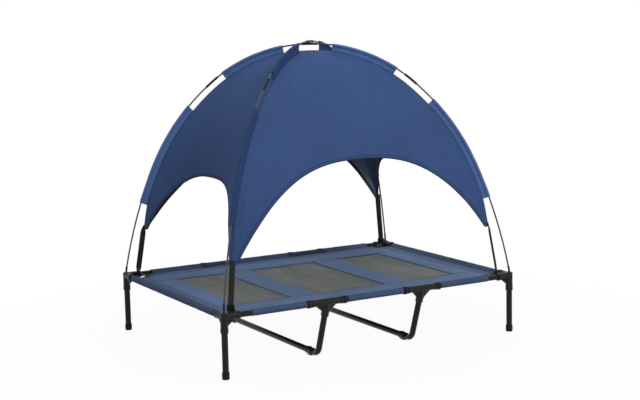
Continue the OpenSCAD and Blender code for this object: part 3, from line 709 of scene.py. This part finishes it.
def add_sleeves(piece, corners, lift, pole):
    """Cloth strips folded over a pole and sewn to the seam.

    The section starts at the seam, rises to the pole, goes round it and comes back down. The
    tunnel's radius is uneven by two sine waves along the pole, and the flaps wave by another.
    """
    gap, wrap, below_seam = 0.0009, 2.75, 0.0004
    turns = np.linspace(-wrap, wrap, 21)
    for number, corner in enumerate(corners):
        out, side = diagonal(corner)
        for part, (start, end) in enumerate(SPANS[corner]):
            t = spaced(start, end, 0.004)
            top = pole.inside(t) + np.array([0, lift])
            foot = pole.seam(t) - np.array([0, below_seam])
            ray = foot - top
            reach = np.linalg.norm(ray, axis=1)[:, None]
            ray /= reach
            uneven = 1 + 0.025 * np.sin(t * 150 + number) + 0.03 * np.sin(t * 61 + part)
            loose = TUNNEL * uneven[:, None]
            rise = np.linspace(1, 0.32, 7)[None, :-1]
            ripple = 0.0004 * np.sin(t * 120 + 2 * number)[:, None] * np.sin(np.pi * rise)
            left = np.stack([reach * rise, gap / 2 + ripple + 0 * rise], -1)
            ring = np.stack([-loose * np.cos(turns), loose * np.sin(turns)], -1)
            right = np.stack([reach * rise[:, ::-1], -gap / 2 + ripple[:, ::-1] + 0 * rise], -1)
            section = np.concatenate([left, ring[:, ::-1], right], 1)
            plane = top[:, None] + section[..., :1] * ray[:, None]
            points = plane[..., :1] * out + section[..., 1:] * side + plane[..., 1:] * UP
            flat = mapped(t[:, None], run(points, 1))
            piece.grid(points[:, ::-1], flat[:, ::-1])
    return piece


# ---------------------------------------------------------------- tees


def revolved(profile, start, along, n=32):
    """Points of a profile of (distance, radius) turned round the line from start along a unit vector."""
    side = ALONG_X if abs(along[0]) < 0.5 else np.array([0.0, 1.0, 0.0])
    a = np.linspace(0, 2 * np.pi, n, endpoint=False)
    spokes = polar(a) @ [side, np.cross(along, side)]
    points = start + profile[:, None, :1] * along + profile[:, None, 1:] * spokes
    return points, mapped(run(profile)[:, None], a * 0.012)


def add_tee(piece, place, inward):
    """A tee: a rail sleeve with two rings at each end, a leg socket with a lip, and a fin between them.

    The sleeve is a closed profile turned round the rail, and the socket one turned round the leg.
    The fin's cross section is a rounded oblong: powers of cosine and sine, with their signs. Its
    half width falls in a straight slope to the socket's own, with a soft flare there. inward is 1
    where the leg leans to +Y, and -1 where it leans to -Y.
    """
    s = sizes()
    rail, leg = (half_wide(node) for node in ("end_rail_right", "corner_leg_rear_right"))
    ends = np.array([
        [0, 0.0002], [0, 0.0034], [0.0008, 0.0042], [0.0092, 0.0042], [0.0100, 0.0034],
        [0.0104, 0.0013], [0.0148, 0.0013], [0.0152, 0.0028], [0.0158, 0.0034],
        [0.0204, 0.0034], [0.0212, 0.0026], [0.0218, s.tee_wall],
    ])
    left = ends + [-s.tee_half, rail]
    sleeve = np.concatenate([left, left[::-1] * [-1, 1], left[:1]])
    piece.grid(*revolved(sleeve, place, ALONG_X), ring=True)
    down = np.array([0.0, inward * math.sin(s.tee_lean), -math.cos(s.tee_lean)])
    under = [[0.004, rail + s.tee_wall - 0.0004], [0.020, leg + 0.0020]]
    lip = np.array([[-0.0130, 0.0022], [-0.0120, 0.0030], [-0.0010, 0.0031], [0, 0.0024], [0, 0.0002]])
    socket = np.concatenate([under, lip + [s.tee_drop, leg], [[0.018, leg + 0.0002]]])
    piece.grid(*revolved(socket, place, down), ring=True, capped=True)
    first, last, straight, flare = 0.002, 0.042, 0.010, 0.0016
    depth = np.linspace(first, last, 21)[:, None]
    slope = s.tee_fin - np.maximum(depth - straight, 0)
    least = leg + 0.0018
    wide = np.maximum(slope, least) + flare * np.exp(-(((slope - least) / 0.004) ** 2))
    thick = 0.0062 + 0.0045 * np.clip(depth / last, 0, 1) ** 2
    across, through = polar(np.linspace(0, 2 * np.pi, 36, endpoint=False)).T
    x = wide * np.sign(across) * np.abs(across) ** 0.5
    y = thick * np.sign(through) * np.abs(through) ** 0.7
    points = place + x[..., None] * ALONG_X + depth[..., None] * down
    points = points + y[..., None] * np.cross(down, ALONG_X)
    piece.grid(points, mapped(x, depth), ring=True, capped=True)


# ---------------------------------------------------------------- sling


class Sling:
    """Outline and surface of the sling, taken from the frame's own nodes."""

    lap = 0.008  # how far the cloth laps over a mesh window's border
    cut = np.array([0.1025, 0.0705])  # the ends of a corner's cut, from the posts along X and Y
    cut_sag = 0.015  # how far that cut is hollow
    cut_reach = 0.16  # no cut narrows the cloth further than this from its post
    cut_columns = (0.46, 0.545)  # places along X where the grid follows a cut's curve
    below = 0.0028  # rail axis down to the top of the cloth
    border = 0.0195  # rail axis to the border of the flat part
    round_rail = 0.0109  # radius of a sleeve round a rail
    round_tee = 0.0156  # radius of a flap against a tee

    def __init__(self):
        s = sizes()
        self.x, self.y, self.z = s.post_x, s.post_y, s.rail_z
        boxes = [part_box(name) for name in WINDOWS]
        self.windows = [[low.x + self.lap, high.x - self.lap] for low, high in boxes]
        self.window_y = boxes[1][1].y - self.lap
        chord = np.hypot(*self.cut)
        self.cut_r = (chord * chord / 4 + self.cut_sag**2) / (2 * self.cut_sag)
        out = self.cut[::-1] / chord
        self.cut_mid = np.array([self.x, self.y]) - self.cut / 2 + out * (self.cut_r - self.cut_sag)

    def height(self, x, y):
        """Top of the cloth: a shallow bowl, drawn up at the rails, with faint creases to the corners."""
        s = sizes()
        a, b = np.clip(np.abs(x) / self.x, 0, 1), np.clip(np.abs(y) / self.y, 0, 1)
        bowl = s.sling_sag * (1 - a**2.6) * (1 - b**2.2)
        crease = 0.0007 * np.sin((a - b) * 42) * (a * b) ** 5
        ripple = 0.0005 * np.sin(x * 31 + 1) * b**4 + 0.0004 * np.sin(y * 37) * a**6
        return self.z - self.below - bowl + crease + ripple

    def half_width(self, x, end):
        """Half the sling's width at x: up to end, and less where a corner is cut hollow."""
        arc = self.cut_mid[1] - np.sqrt(np.maximum(self.cut_r**2 - (np.abs(x) - self.cut_mid[0]) ** 2, 0))
        inside = np.abs(x) > self.cut_mid[0] - self.cut_r
        near_post = np.abs(x) > self.x - self.cut_reach
        return np.where(inside & near_post, np.minimum(end, arc), end)

    def sheet(self):
        """The flat part on one grid: x by share of the width, without the cells of the windows."""
        edge_x, edge_y = self.x - self.border, self.y - self.border
        at_cuts = [way * x for way in (-1, 1) for x in (*self.cut_columns, edge_x)]
        stops = sorted({*at_cuts, *[w for pair in self.windows for w in pair]})
        xs = np.concatenate([spaced(a, b, 0.008) for a, b in zip(stops[:-1], stops[1:])])
        share = self.window_y / edge_y
        beside = np.linspace(share, 1, 16)
        fs = np.concatenate([-beside, np.linspace(-share, share, 45), beside])
        x, f = np.meshgrid(np.unique(xs.round(9)), np.unique(fs.round(9)), indexing="ij")
        y = f * self.half_width(x, edge_y)
        points = np.stack([x, y, self.height(x, y)], -1)
        mid_x, mid_f = (x[1:, 1:] + x[:-1, :-1]) / 2, (f[1:, 1:] + f[:-1, :-1]) / 2
        open_x = sum(((mid_x > a) & (mid_x < b)).astype(int) for a, b in self.windows) > 0
        keep = ~(open_x & (np.abs(mid_f) < share))
        return points, np.stack([x, y], -1), keep

    def belt(self, n=30):
        """Section of a rail sleeve as (in, up) points: from its seam over the rail, round it and back."""
        seam = np.array([sizes().sling_lace, -0.0034])
        far, aim = np.hypot(*seam), math.atan2(seam[1], seam[0])
        spread = math.acos(self.round_rail / far)
        arc = self.round_rail * polar(np.linspace(aim + spread, aim - spread + 2 * math.pi, n))
        lead = np.linspace(0, 1, 7)[:-1, None]
        back = arc[-1] + (seam - arc[-1]) * lead[1:]
        return np.concatenate([seam + (arc[0] - seam) * lead, arc, back])

    def add_belts(self, piece):
        """Sleeves on the rails: the belt's section carried along each free stretch of rail."""
        s, section = sizes(), self.belt()
        notch = s.tee_half + 0.004
        out, inner = s.tee_x + notch, s.tee_x - notch
        end_x, end_y = (self.x, self.y) - self.cut
        free = ((-end_x, -out), (-inner, inner), (out, end_x))
        runs = [(0, way, a, b) for way in (-1, 1) for a, b in free]
        runs += [(1, way, -end_y, end_y) for way in (-1, 1)]
        for axis, way, a, b in runs:
            t = spaced(a, b, 0.006)[:, None]
            fade = np.clip(section[:, 0] / s.sling_lace, 0, 1)[None, :]
            slack = 1 + 0.012 * np.sin(t * 90 + way) + 0.01 * np.sin(t * 37)
            across = way * ((self.y, self.x)[axis] - section[None, :, 0] * slack)
            x, y = (t, across) if axis == 0 else (across, t)
            at_seam = self.height(x, y) - (self.z - self.below)
            up = self.z + section[None, :, 1] * (slack * (1 - fade) + fade) + at_seam * fade
            points = np.stack(np.broadcast_arrays(x, y, up), -1)
            piece.grid(points, mapped(t, run(section)), ring=True)
        return float(run(section)[-1])

    def add_flaps(self, piece):
        """Strips of cloth at the tees: each rises from the sheet and lies against the tee's inner side."""
        s = sizes()
        arc = self.round_tee * polar(np.linspace(-0.25, 0.62, 12))
        section = np.concatenate([[[0.0300, -0.0034], [0.0215, -0.0036]], arc])
        for way in (-1, 1):
            for tee in (-s.tee_x, s.tee_x):
                x = (tee + (s.tee_half + 0.003) * np.linspace(-1, 1, 31))[:, None]
                slack = 1 + 0.02 * np.sin(x * 140 + way)
                y = way * (self.y - section[None, :, 0] * slack)
                z = self.z + section[None, :, 1] * slack
                piece.grid(np.stack(np.broadcast_arrays(x, y, z), -1), mapped(x, run(section)))

    def hem(self, low, high):
        """Points and map of the hem round a window: a flat band carried round its border."""
        side = np.linspace(-1, 1, 40)[:-1]
        one = np.ones_like(side)
        round_window = np.concatenate([
            np.stack(pair, 1) for pair in ((side, -one), (one, side), (-side, one), (-one, -side))
        ])
        section = np.array([
            [-0.0006, -0.0016], [-0.0010, -0.0004], [-0.0004, 0.0007], [0.0012, 0.0010],
            [0.0040, 0.0010], [0.0080, 0.0010], [0.0102, 0.0009], [0.0112, 0.0003], [0.0112, -0.0016],
        ])
        half = np.array([(high - low) / 2, self.window_y])
        spot = round_window[:, None] * (half + section[None, :, :1])
        x, y = spot[..., 0] + (low + high) / 2, spot[..., 1]
        points = np.stack([x, y, self.height(x, y) + section[None, :, 1]], -1)
        points = np.concatenate([points, points[:1]])
        return points, mapped(run(points[:, 0])[:, None], section[:, 0])


# ---------------------------------------------------------------- straps


def band(width, thick, steps=5):
    """Section of a flat band: a rectangle with half round edges, as (across, up) points."""
    edge = polar(np.linspace(-np.pi / 2, np.pi / 2, steps)) * thick / 2 + [(width - thick) / 2, 0]
    return np.concatenate([edge, -edge])


def smooth(path, rounds=3):
    """A path with its corners cut: a point gives way to two, a quarter of the way to its neighbours."""
    for _ in range(rounds):
        before, after = path[:-1], path[1:]
        cut = np.stack([before * 0.75 + after * 0.25, before * 0.25 + after * 0.75], 1)
        path = np.concatenate([path[:1], cut.reshape(-1, path.shape[1]), path[-1:]])
    return path


def add_strap(piece, path, corner, width, thick, twist=0.0):
    """A band of webbing carried along a path of (out, up) points in a corner's diagonal plane.

    It turns about its own length by twist half way along, and not at its two ends.
    """
    out, side = diagonal(corner)
    ahead = np.gradient(path, axis=0)
    ahead /= np.linalg.norm(ahead, axis=1, keepdims=True)
    normal = np.stack([ahead[:, 1], -ahead[:, 0]], 1)
    section = band(width, thick)
    gone = run(path)
    angle = twist * np.clip(7 * np.minimum(gone, gone[-1] - gone) / gone[-1], 0, 1)[:, None]
    wide = section[None, :, 0] * np.cos(angle) - section[None, :, 1] * np.sin(angle)
    deep = section[None, :, 0] * np.sin(angle) + section[None, :, 1] * np.cos(angle)
    plane = path[:, None] + normal[:, None] * deep[..., None]
    points = plane[..., :1] * out + side * wide[..., None] + plane[..., 1:] * UP
    piece.grid(points, mapped(gone[:, None], section[:, 0]), ring=True, capped=True)


def tie_path(tip):
    """(out, up) points of a tie strap: off the gore's tip, down to its buckle and through it."""
    low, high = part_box("strap_buckles")
    off = [0.0011, 0]
    half_way = tip[1] * 0.5 + [HOLD * 0.5, high.z * 0.5]
    through = [[HOLD, high.z], [HOLD, low.z + 0.004], [HOLD, low.z + 0.0005]]
    return smooth(np.array([tip[0] + off, tip[1] + off, half_way, *through]))


def loop_path(sling):
    """(out, up) points of a corner loop: from under the cut, round the buckle's bar and back over it."""
    chord, reach = np.hypot(*sling.cut), np.hypot(sling.x, sling.y)
    across = sling.cut[::-1] / chord
    lean = across @ [sling.x, sling.y] / reach
    centre = np.array([sling.x, sling.y]) - sling.cut / 2
    edge = (across @ centre - sling.cut_sag) / lean
    out, _ = diagonal("rear_right")
    near = np.array([edge, float(sling.height(*(edge * out[:2]))) + 0.0014])
    ring = BAR + 0.0030 * polar(np.linspace(-2.2, 2.35, 15))
    under = near - [[0.018, 0.0002], [0.009, 0]]
    over = near + [[-0.006, 0.0014], [-0.017, 0.0013]]
    return np.concatenate([under, ring, over])


# ---------------------------------------------------------------- operators


class DOGCOT_OT_frame(bpy.types.Operator):
    """Gives the tubes, fittings, caps, poles and buckles of the frame their finishes"""

    bl_idname = "dogcot.frame"
    bl_label = "Frame finishes"

    def execute(self, context):
        c = colours()
        rail = sizes().rail_z
        made = {
            "tube_black": paint_finish("powder_coat", c.tube),
            "moulded_black": moulded_finish("moulded_fitting", c.plastic, 0.30, 0.50, 700, rail),
            "cap_black": moulded_finish("rubber_cap", c.rubber, 0.62, 0.85, 900),
            "buckle_black": moulded_finish("buckle_plastic", c.plastic, 0.20, 0.38, 900),
            "rod_grey": rod_finish("glass_fibre", c.rod),
            "pole_black": moulded_finish("ferrule_black", c.plastic, 0.28, 0.46, 900),
        }
        for part in frame["record"]["subparts"]:
            finish = made.get(part["material_slot"])
            if finish:
                mesh = NODES[part["node"]].data
                mesh.materials.clear()
                mesh.materials.append(finish)
        return {"FINISHED"}


class DOGCOT_OT_tees(bpy.types.Operator):
    """Builds the four moulded tees that join the supports to the long rails"""

    bl_idname = "dogcot.tees"
    bl_label = "Tees"

    def execute(self, context):
        s = sizes()
        moulding = moulded_finish("moulded_tee", colours().plastic, 0.30, 0.50, 700, s.rail_z)
        for corner, (cx, cy) in CORNERS.items():
            piece = Piece()
            add_tee(piece, np.array([cx * s.tee_x, cy * s.post_y, s.rail_z]), -cy)
            node = "tee_" + corner
            tee = piece.made(
                node + "_moulding", moulding, "bed", "moulded_black", [node], weld=True, outward=True
            )
            tee.data.set_sharp_from_angle(angle=math.radians(38))
        return {"FINISHED"}


class DOGCOT_OT_sling(bpy.types.Operator):
    """Builds the sling with its rail sleeves, and the hems round its windows"""

    bl_idname = "dogcot.sling"
    bl_label = "Sling"

    def execute(self, context):
        s, c, sling = sizes(), colours(), Sling()
        notches_and_corners = 0.09  # square metres that the notches and the corners' cuts take out
        # Rows of stitches, each in a groove darkened by painted shade, run past the windows' ends and along
        # the rails, and columns at both ends.
        rows = [way * y for y in (sling.window_y + 0.005, s.post_y - 0.060) for way in (-1, 1)]
        columns = [way * (s.post_x - 0.055) for way in (-1, 1)]
        # The sheet darkens towards the rails as painted shade.
        rim = (s.post_x - s.sling_lace, s.post_y - s.sling_lace)
        cloth = cloth_finish("sling_cloth", c.sling, SLING_PITCH, rows, columns, 1.6, 0.0030, rim)
        # The rail sleeves and the flaps at the tees take the sling's cloth, darkened as painted shade.
        lace = cloth_finish("sling_lace", c.lace, SLING_PITCH)
        points, flat, keep = sling.sheet()
        piece = Piece().grid(points, flat, keep)
        middle_faces = len(piece.faces)
        loop = sling.add_belts(piece)
        sling.add_flaps(piece)
        cover = piece.made("sling_cover", cloth, "bed", "sling_cloth", ["sling"], wall=s.sling_cloth)
        cover.data.materials.append(lace)
        on_rails = np.arange(len(cover.data.polygons)) >= middle_faces
        cover.data.polygons.foreach_set("material_index", on_rails.astype(np.int32))
        hem_cloth = cloth_finish("sling_hem", c.sling, SLING_PITCH, rows=(0.0025, 0.0085), marked=0.6)
        hems = Piece()
        for low, high in sling.windows:
            hems.grid(*sling.hem(low, high), ring=True)
        trim = hems.made("window_hems", hem_cloth, "bed", "sling_cloth", weld=True, outward=True)
        width = 2 * (s.post_y - s.sling_lace + loop)
        long = 2 * (s.post_x - s.sling_lace + loop)
        gone = sum(b - a for a, b in sling.windows) * 2 * sling.window_y + notches_and_corners
        width * long - gone
        return {"FINISHED"}


class DOGCOT_OT_mesh(bpy.types.Operator):
    """Builds the three mesh windows, a little slack between their seams"""

    bl_idname = "dogcot.mesh"
    bl_label = "Mesh windows"

    def execute(self, context):
        sling = Sling()
        net = net_finish("open_mesh", colours().mesh)
        under, sag, ripple = 0.0021, 0.0022, 0.0005
        a, b = np.meshgrid(np.linspace(-1, 1, 41), np.linspace(-1, 1, 81), indexing="ij")
        for name in WINDOWS:
            low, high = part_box(name)
            x = low.x + (high.x - low.x) * (a + 1) / 2
            y = low.y + (high.y - low.y) * (b + 1) / 2
            slack = (sag * (1 - b**4) + ripple * np.sin(y * 60 + x * 9)) * (1 - a * a)
            z = sling.height(x, y) - under - slack
            piece = Piece().grid(np.stack([x, y, z], -1), np.stack([x, y], -1))
            panel = piece.made(name + "_panel", net, "bed", "mesh_cloth", [name], wall=0.0006)
        return {"FINISHED"}


class DOGCOT_OT_canopy(bpy.types.Operator):
    """Builds the canopy's cover, its hems and its bindings"""

    bl_idname = "dogcot.canopy"
    bl_label = "Canopy"

    def execute(self, context):
        s, c, pole = sizes(), colours(), Pole()
        gores = [Gore(quarter, pole) for quarter in range(4)]
        cloth = cloth_finish("canopy_cloth", c.canopy, CANOPY_PITCH)
        lining = cloth_finish("canopy_lining", c.lining, CANOPY_PITCH)
        piece, area, spread = add_canopy(gores)
        nodes = ["canopy_front", "canopy_rear", "canopy_left", "canopy_right"]
        cover = piece.made("canopy_cover", cloth, "canopy", "canopy_cloth", nodes, weld=True, wall=s.cloth)
        cover.data.materials.append(lining)
        cover.modifiers["Wall"].material_offset = 1
        hem_colour = [k * 0.92 for k in c.canopy]
        hem_cloth = cloth_finish("canopy_hem", hem_colour, CANOPY_PITCH, rows=(0.0022, s.hem - 0.002))
        tape = webbing_finish("binding_tape", c.webbing)
        hem_lift, tape_lift, tape_inside = 0.0006, 0.0011, 0.0105
        hem_fold = folded(s.hem, s.hem, hem_lift, s.cloth)
        hems, tapes = Piece(), Piece()
        for gore in gores:
            # The tape shows outside on the side gores. On the others only its fold does.
            tape_outside, ends = (0.0072, 0.992) if gore.side else (0.0006, 0.955)
            tape_fold = folded(tape_outside, tape_inside, tape_lift, s.cloth)
            hems.grid(*hem_grid(gore, hem_fold), ring=True, capped=True)
            tapes.grid(*hem_grid(gore, tape_fold, ends), ring=True, capped=True)
        hem = hems.made("canopy_hems", hem_cloth, "canopy", "canopy_cloth", outward=True)
        edge = tapes.made("canopy_bindings", tape, "canopy", "webbing", outward=True)
        return {"FINISHED"}


class DOGCOT_OT_sleeves(bpy.types.Operator):
    """Builds the sleeves that hang the canopy from its poles"""

    bl_idname = "dogcot.sleeves"
    bl_label = "Pole sleeves"

    def execute(self, context):
        s, c, pole = sizes(), colours(), Pole()
        # The lower sleeves take the lighter colour as painted light through the cloth, the upper ones the
        # darker as painted shade.
        poles = (("lower", LOWER, 0.0, c.sleeve), ("upper", UPPER, s.pole_lift, c.shade))
        for stem, corners, lift, colour in poles:
            node = stem + "_pole_sleeves"
            cloth = cloth_finish(stem + "_sleeve_cloth", colour, CANOPY_PITCH, rows=(0.0150,), marked=0.2)
            piece = add_sleeves(Piece(), corners, lift, pole)
            made = piece.made(
                node + "_cloth", cloth, "canopy", "sleeve_cloth", [node], wall=0.0006, offset=0.0
            )
        return {"FINISHED"}


class DOGCOT_OT_straps(bpy.types.Operator):
    """Builds the canopy's four tie straps and the sling's four corner loops"""

    bl_idname = "dogcot.straps"
    bl_label = "Straps"

    def execute(self, context):
        s, c, pole = sizes(), colours(), Pole()
        webbing = webbing_finish("webbing", c.webbing)
        twists = dict(zip(CORNERS, np.radians((0, 20, -55, 0))))
        tie_thick, loop_thick = 0.0015, 0.0011
        for corner in CORNERS:
            node = "canopy_strap_" + corner
            path = tie_path(pole.line(corner)[[-9, -1]])
            piece = Piece()
            add_strap(piece, path, corner, s.strap, tie_thick, twists[corner])
            strap = piece.made("tie_strap_" + corner, webbing, "canopy", "webbing", [node], outward=True)
            size = (s.strap, float(run(path)[-1]))
        path, piece = loop_path(Sling()), Piece()
        for corner in CORNERS:
            add_strap(piece, smooth(path, 2), corner, s.strap, loop_thick)
        loops = piece.made("corner_loop_webbing", webbing, "bed", "webbing", ["corner_loops"], outward=True)
        size = (s.strap, len(CORNERS) * float(run(path)[-1]))
        return {"FINISHED"}


class DOGCOT_OT_stage(bpy.types.Operator):
    """Sets up the floor, the light and the camera"""

    bl_idname = "dogcot.stage"
    bl_label = "Stage"

    def execute(self, context):
        scene = context.scene
        wide, below = 30, 0.0004
        mesh = bpy.data.meshes.new("floor")
        square = [(x * wide, y * wide, -below) for x, y in ((-1, -1), (1, -1), (1, 1), (-1, 1))]
        mesh.from_pydata(square, [], [(0, 1, 2, 3)])
        floor = bpy.data.objects.new("floor", mesh)
        scene.collection.objects.link(floor)
        f = Finish("studio_floor", Base_Color=(0.45, 0.45, 0.45, 1), Roughness=0.9, Specular_IOR_Level=0.1)
        # The floor shines white where it is seen, a little less near the middle, where it takes shade.
        glow = f.node("ShaderNodeEmission", None, {"Color": (1, 1, 1, 1), "Strength": 1.0})
        away = f.node("ShaderNodeVectorMath", {"operation": "LENGTH"}, {0: f.place()}, out="Value")
        share = f.ranged(away, 0.5, 1.6, 0.96, 1.0, "SMOOTHSTEP")
        lit = Wire(f, f.shader.outputs[0])
        shown = f.node("ShaderNodeMixShader", None, {0: f.seen() * share, 1: lit, 2: glow})
        f.tree.links.new(shown.socket, f.tree.nodes["Material Output"].inputs["Surface"])
        mesh.materials.append(f.material)

        world = bpy.data.worlds.new("studio")
        world.use_nodes = True
        scene.world = world
        sky = Nodes(world.node_tree)
        backdrop = sky.tree.nodes["Background"]
        backdrop.inputs["Color"].default_value = (1, 1, 1, 1)
        # The backdrop is white where it is seen, and dimmer as a light.
        strength = sky.ranged(sky.seen(), low=0.46)
        sky.tree.links.new(strength.socket, backdrop.inputs["Strength"])

        for name, place, size, power in (
            ("key", (0.7, -5.0, 3.9), 1.8, 106),
            ("overhead", (0.2, 0.0, 4.2), 0.9, 12),
            ("rim", (3.6, 3.2, 2.6), 2.4, 14),
        ):
            light = bpy.data.lights.new(name, "AREA")
            light.shape, light.size, light.energy = "DISK", size, power
            lamp = bpy.data.objects.new(name, light)
            lamp.location = place
            aim = Vector((0, 0, 0.5)) - lamp.location
            lamp.rotation_euler = aim.to_track_quat("-Z", "Y").to_euler()
            lamp.visible_camera = False
            scene.collection.objects.link(lamp)

        # The camera looks from the front left, from a little above the canopy, slightly rolled.
        az, el, roll = map(math.radians, (-29.819, 8.102, -1.233))
        back = np.array([math.sin(az) * math.cos(el), -math.cos(az) * math.cos(el), math.sin(el)])
        right = np.array([math.cos(az), math.sin(az), 0])
        up = np.cross(back, right)
        c, s = math.cos(roll), math.sin(roll)
        turned_axes = np.stack([right * c + up * s, up * c - right * s, back], 1)
        data = bpy.data.cameras.new("camera")
        data.sensor_width, data.lens = 36, 76.18
        data.clip_start, data.clip_end = 0.1, 60
        camera = bpy.data.objects.new("camera", data)
        pose = Matrix(turned_axes.tolist()).to_4x4()
        pose.translation = (-2.5086, -4.4284, 1.2307)
        camera.matrix_world = pose
        scene.collection.objects.link(camera)
        scene.camera = camera
        scene.view_settings.view_transform = "Standard"
        return {"FINISHED"}


class DOGCOT_PT_panel(bpy.types.Panel):
    """Lists the cot's operators and its sizes and colours"""

    bl_label = "Dog Cot"
    bl_idname = "DOGCOT_PT_panel"
    bl_space_type = "VIEW_3D"
    bl_region_type = "UI"
    bl_category = "Dog Cot"

    def draw(self, context):
        for step in STEPS:
            self.layout.operator(step.bl_idname)
        for group in (context.scene.dogcot_sizes, context.scene.dogcot_colours):
            column = self.layout.column(align=True)
            for name in group.__annotations__:
                column.prop(group, name)


GROUPS = (DOGCOT_PG_sizes, DOGCOT_PG_colours)
STEPS = (
    DOGCOT_OT_frame,
    DOGCOT_OT_tees,
    DOGCOT_OT_sling,
    DOGCOT_OT_mesh,
    DOGCOT_OT_canopy,
    DOGCOT_OT_sleeves,
    DOGCOT_OT_straps,
    DOGCOT_OT_stage,
)


def register():
    for made in (*GROUPS, *STEPS, DOGCOT_PT_panel):
        bpy.utils.register_class(made)
    bpy.types.Scene.dogcot_sizes = bpy.props.PointerProperty(type=DOGCOT_PG_sizes)
    bpy.types.Scene.dogcot_colours = bpy.props.PointerProperty(type=DOGCOT_PG_colours)


def unregister():
    del bpy.types.Scene.dogcot_sizes, bpy.types.Scene.dogcot_colours
    for made in (DOGCOT_PT_panel, *STEPS[::-1], *GROUPS[::-1]):
        bpy.utils.unregister_class(made)


def main():
    """Runs every step in order."""
    register()
    bpy.ops.dogcot.frame()
    bpy.ops.dogcot.tees()
    bpy.ops.dogcot.sling()
    bpy.ops.dogcot.mesh()
    bpy.ops.dogcot.canopy()
    bpy.ops.dogcot.sleeves()
    bpy.ops.dogcot.straps()
    bpy.ops.dogcot.stage()
    bpy.context.view_layer.update()


if __name__ == "__main__":
    main()
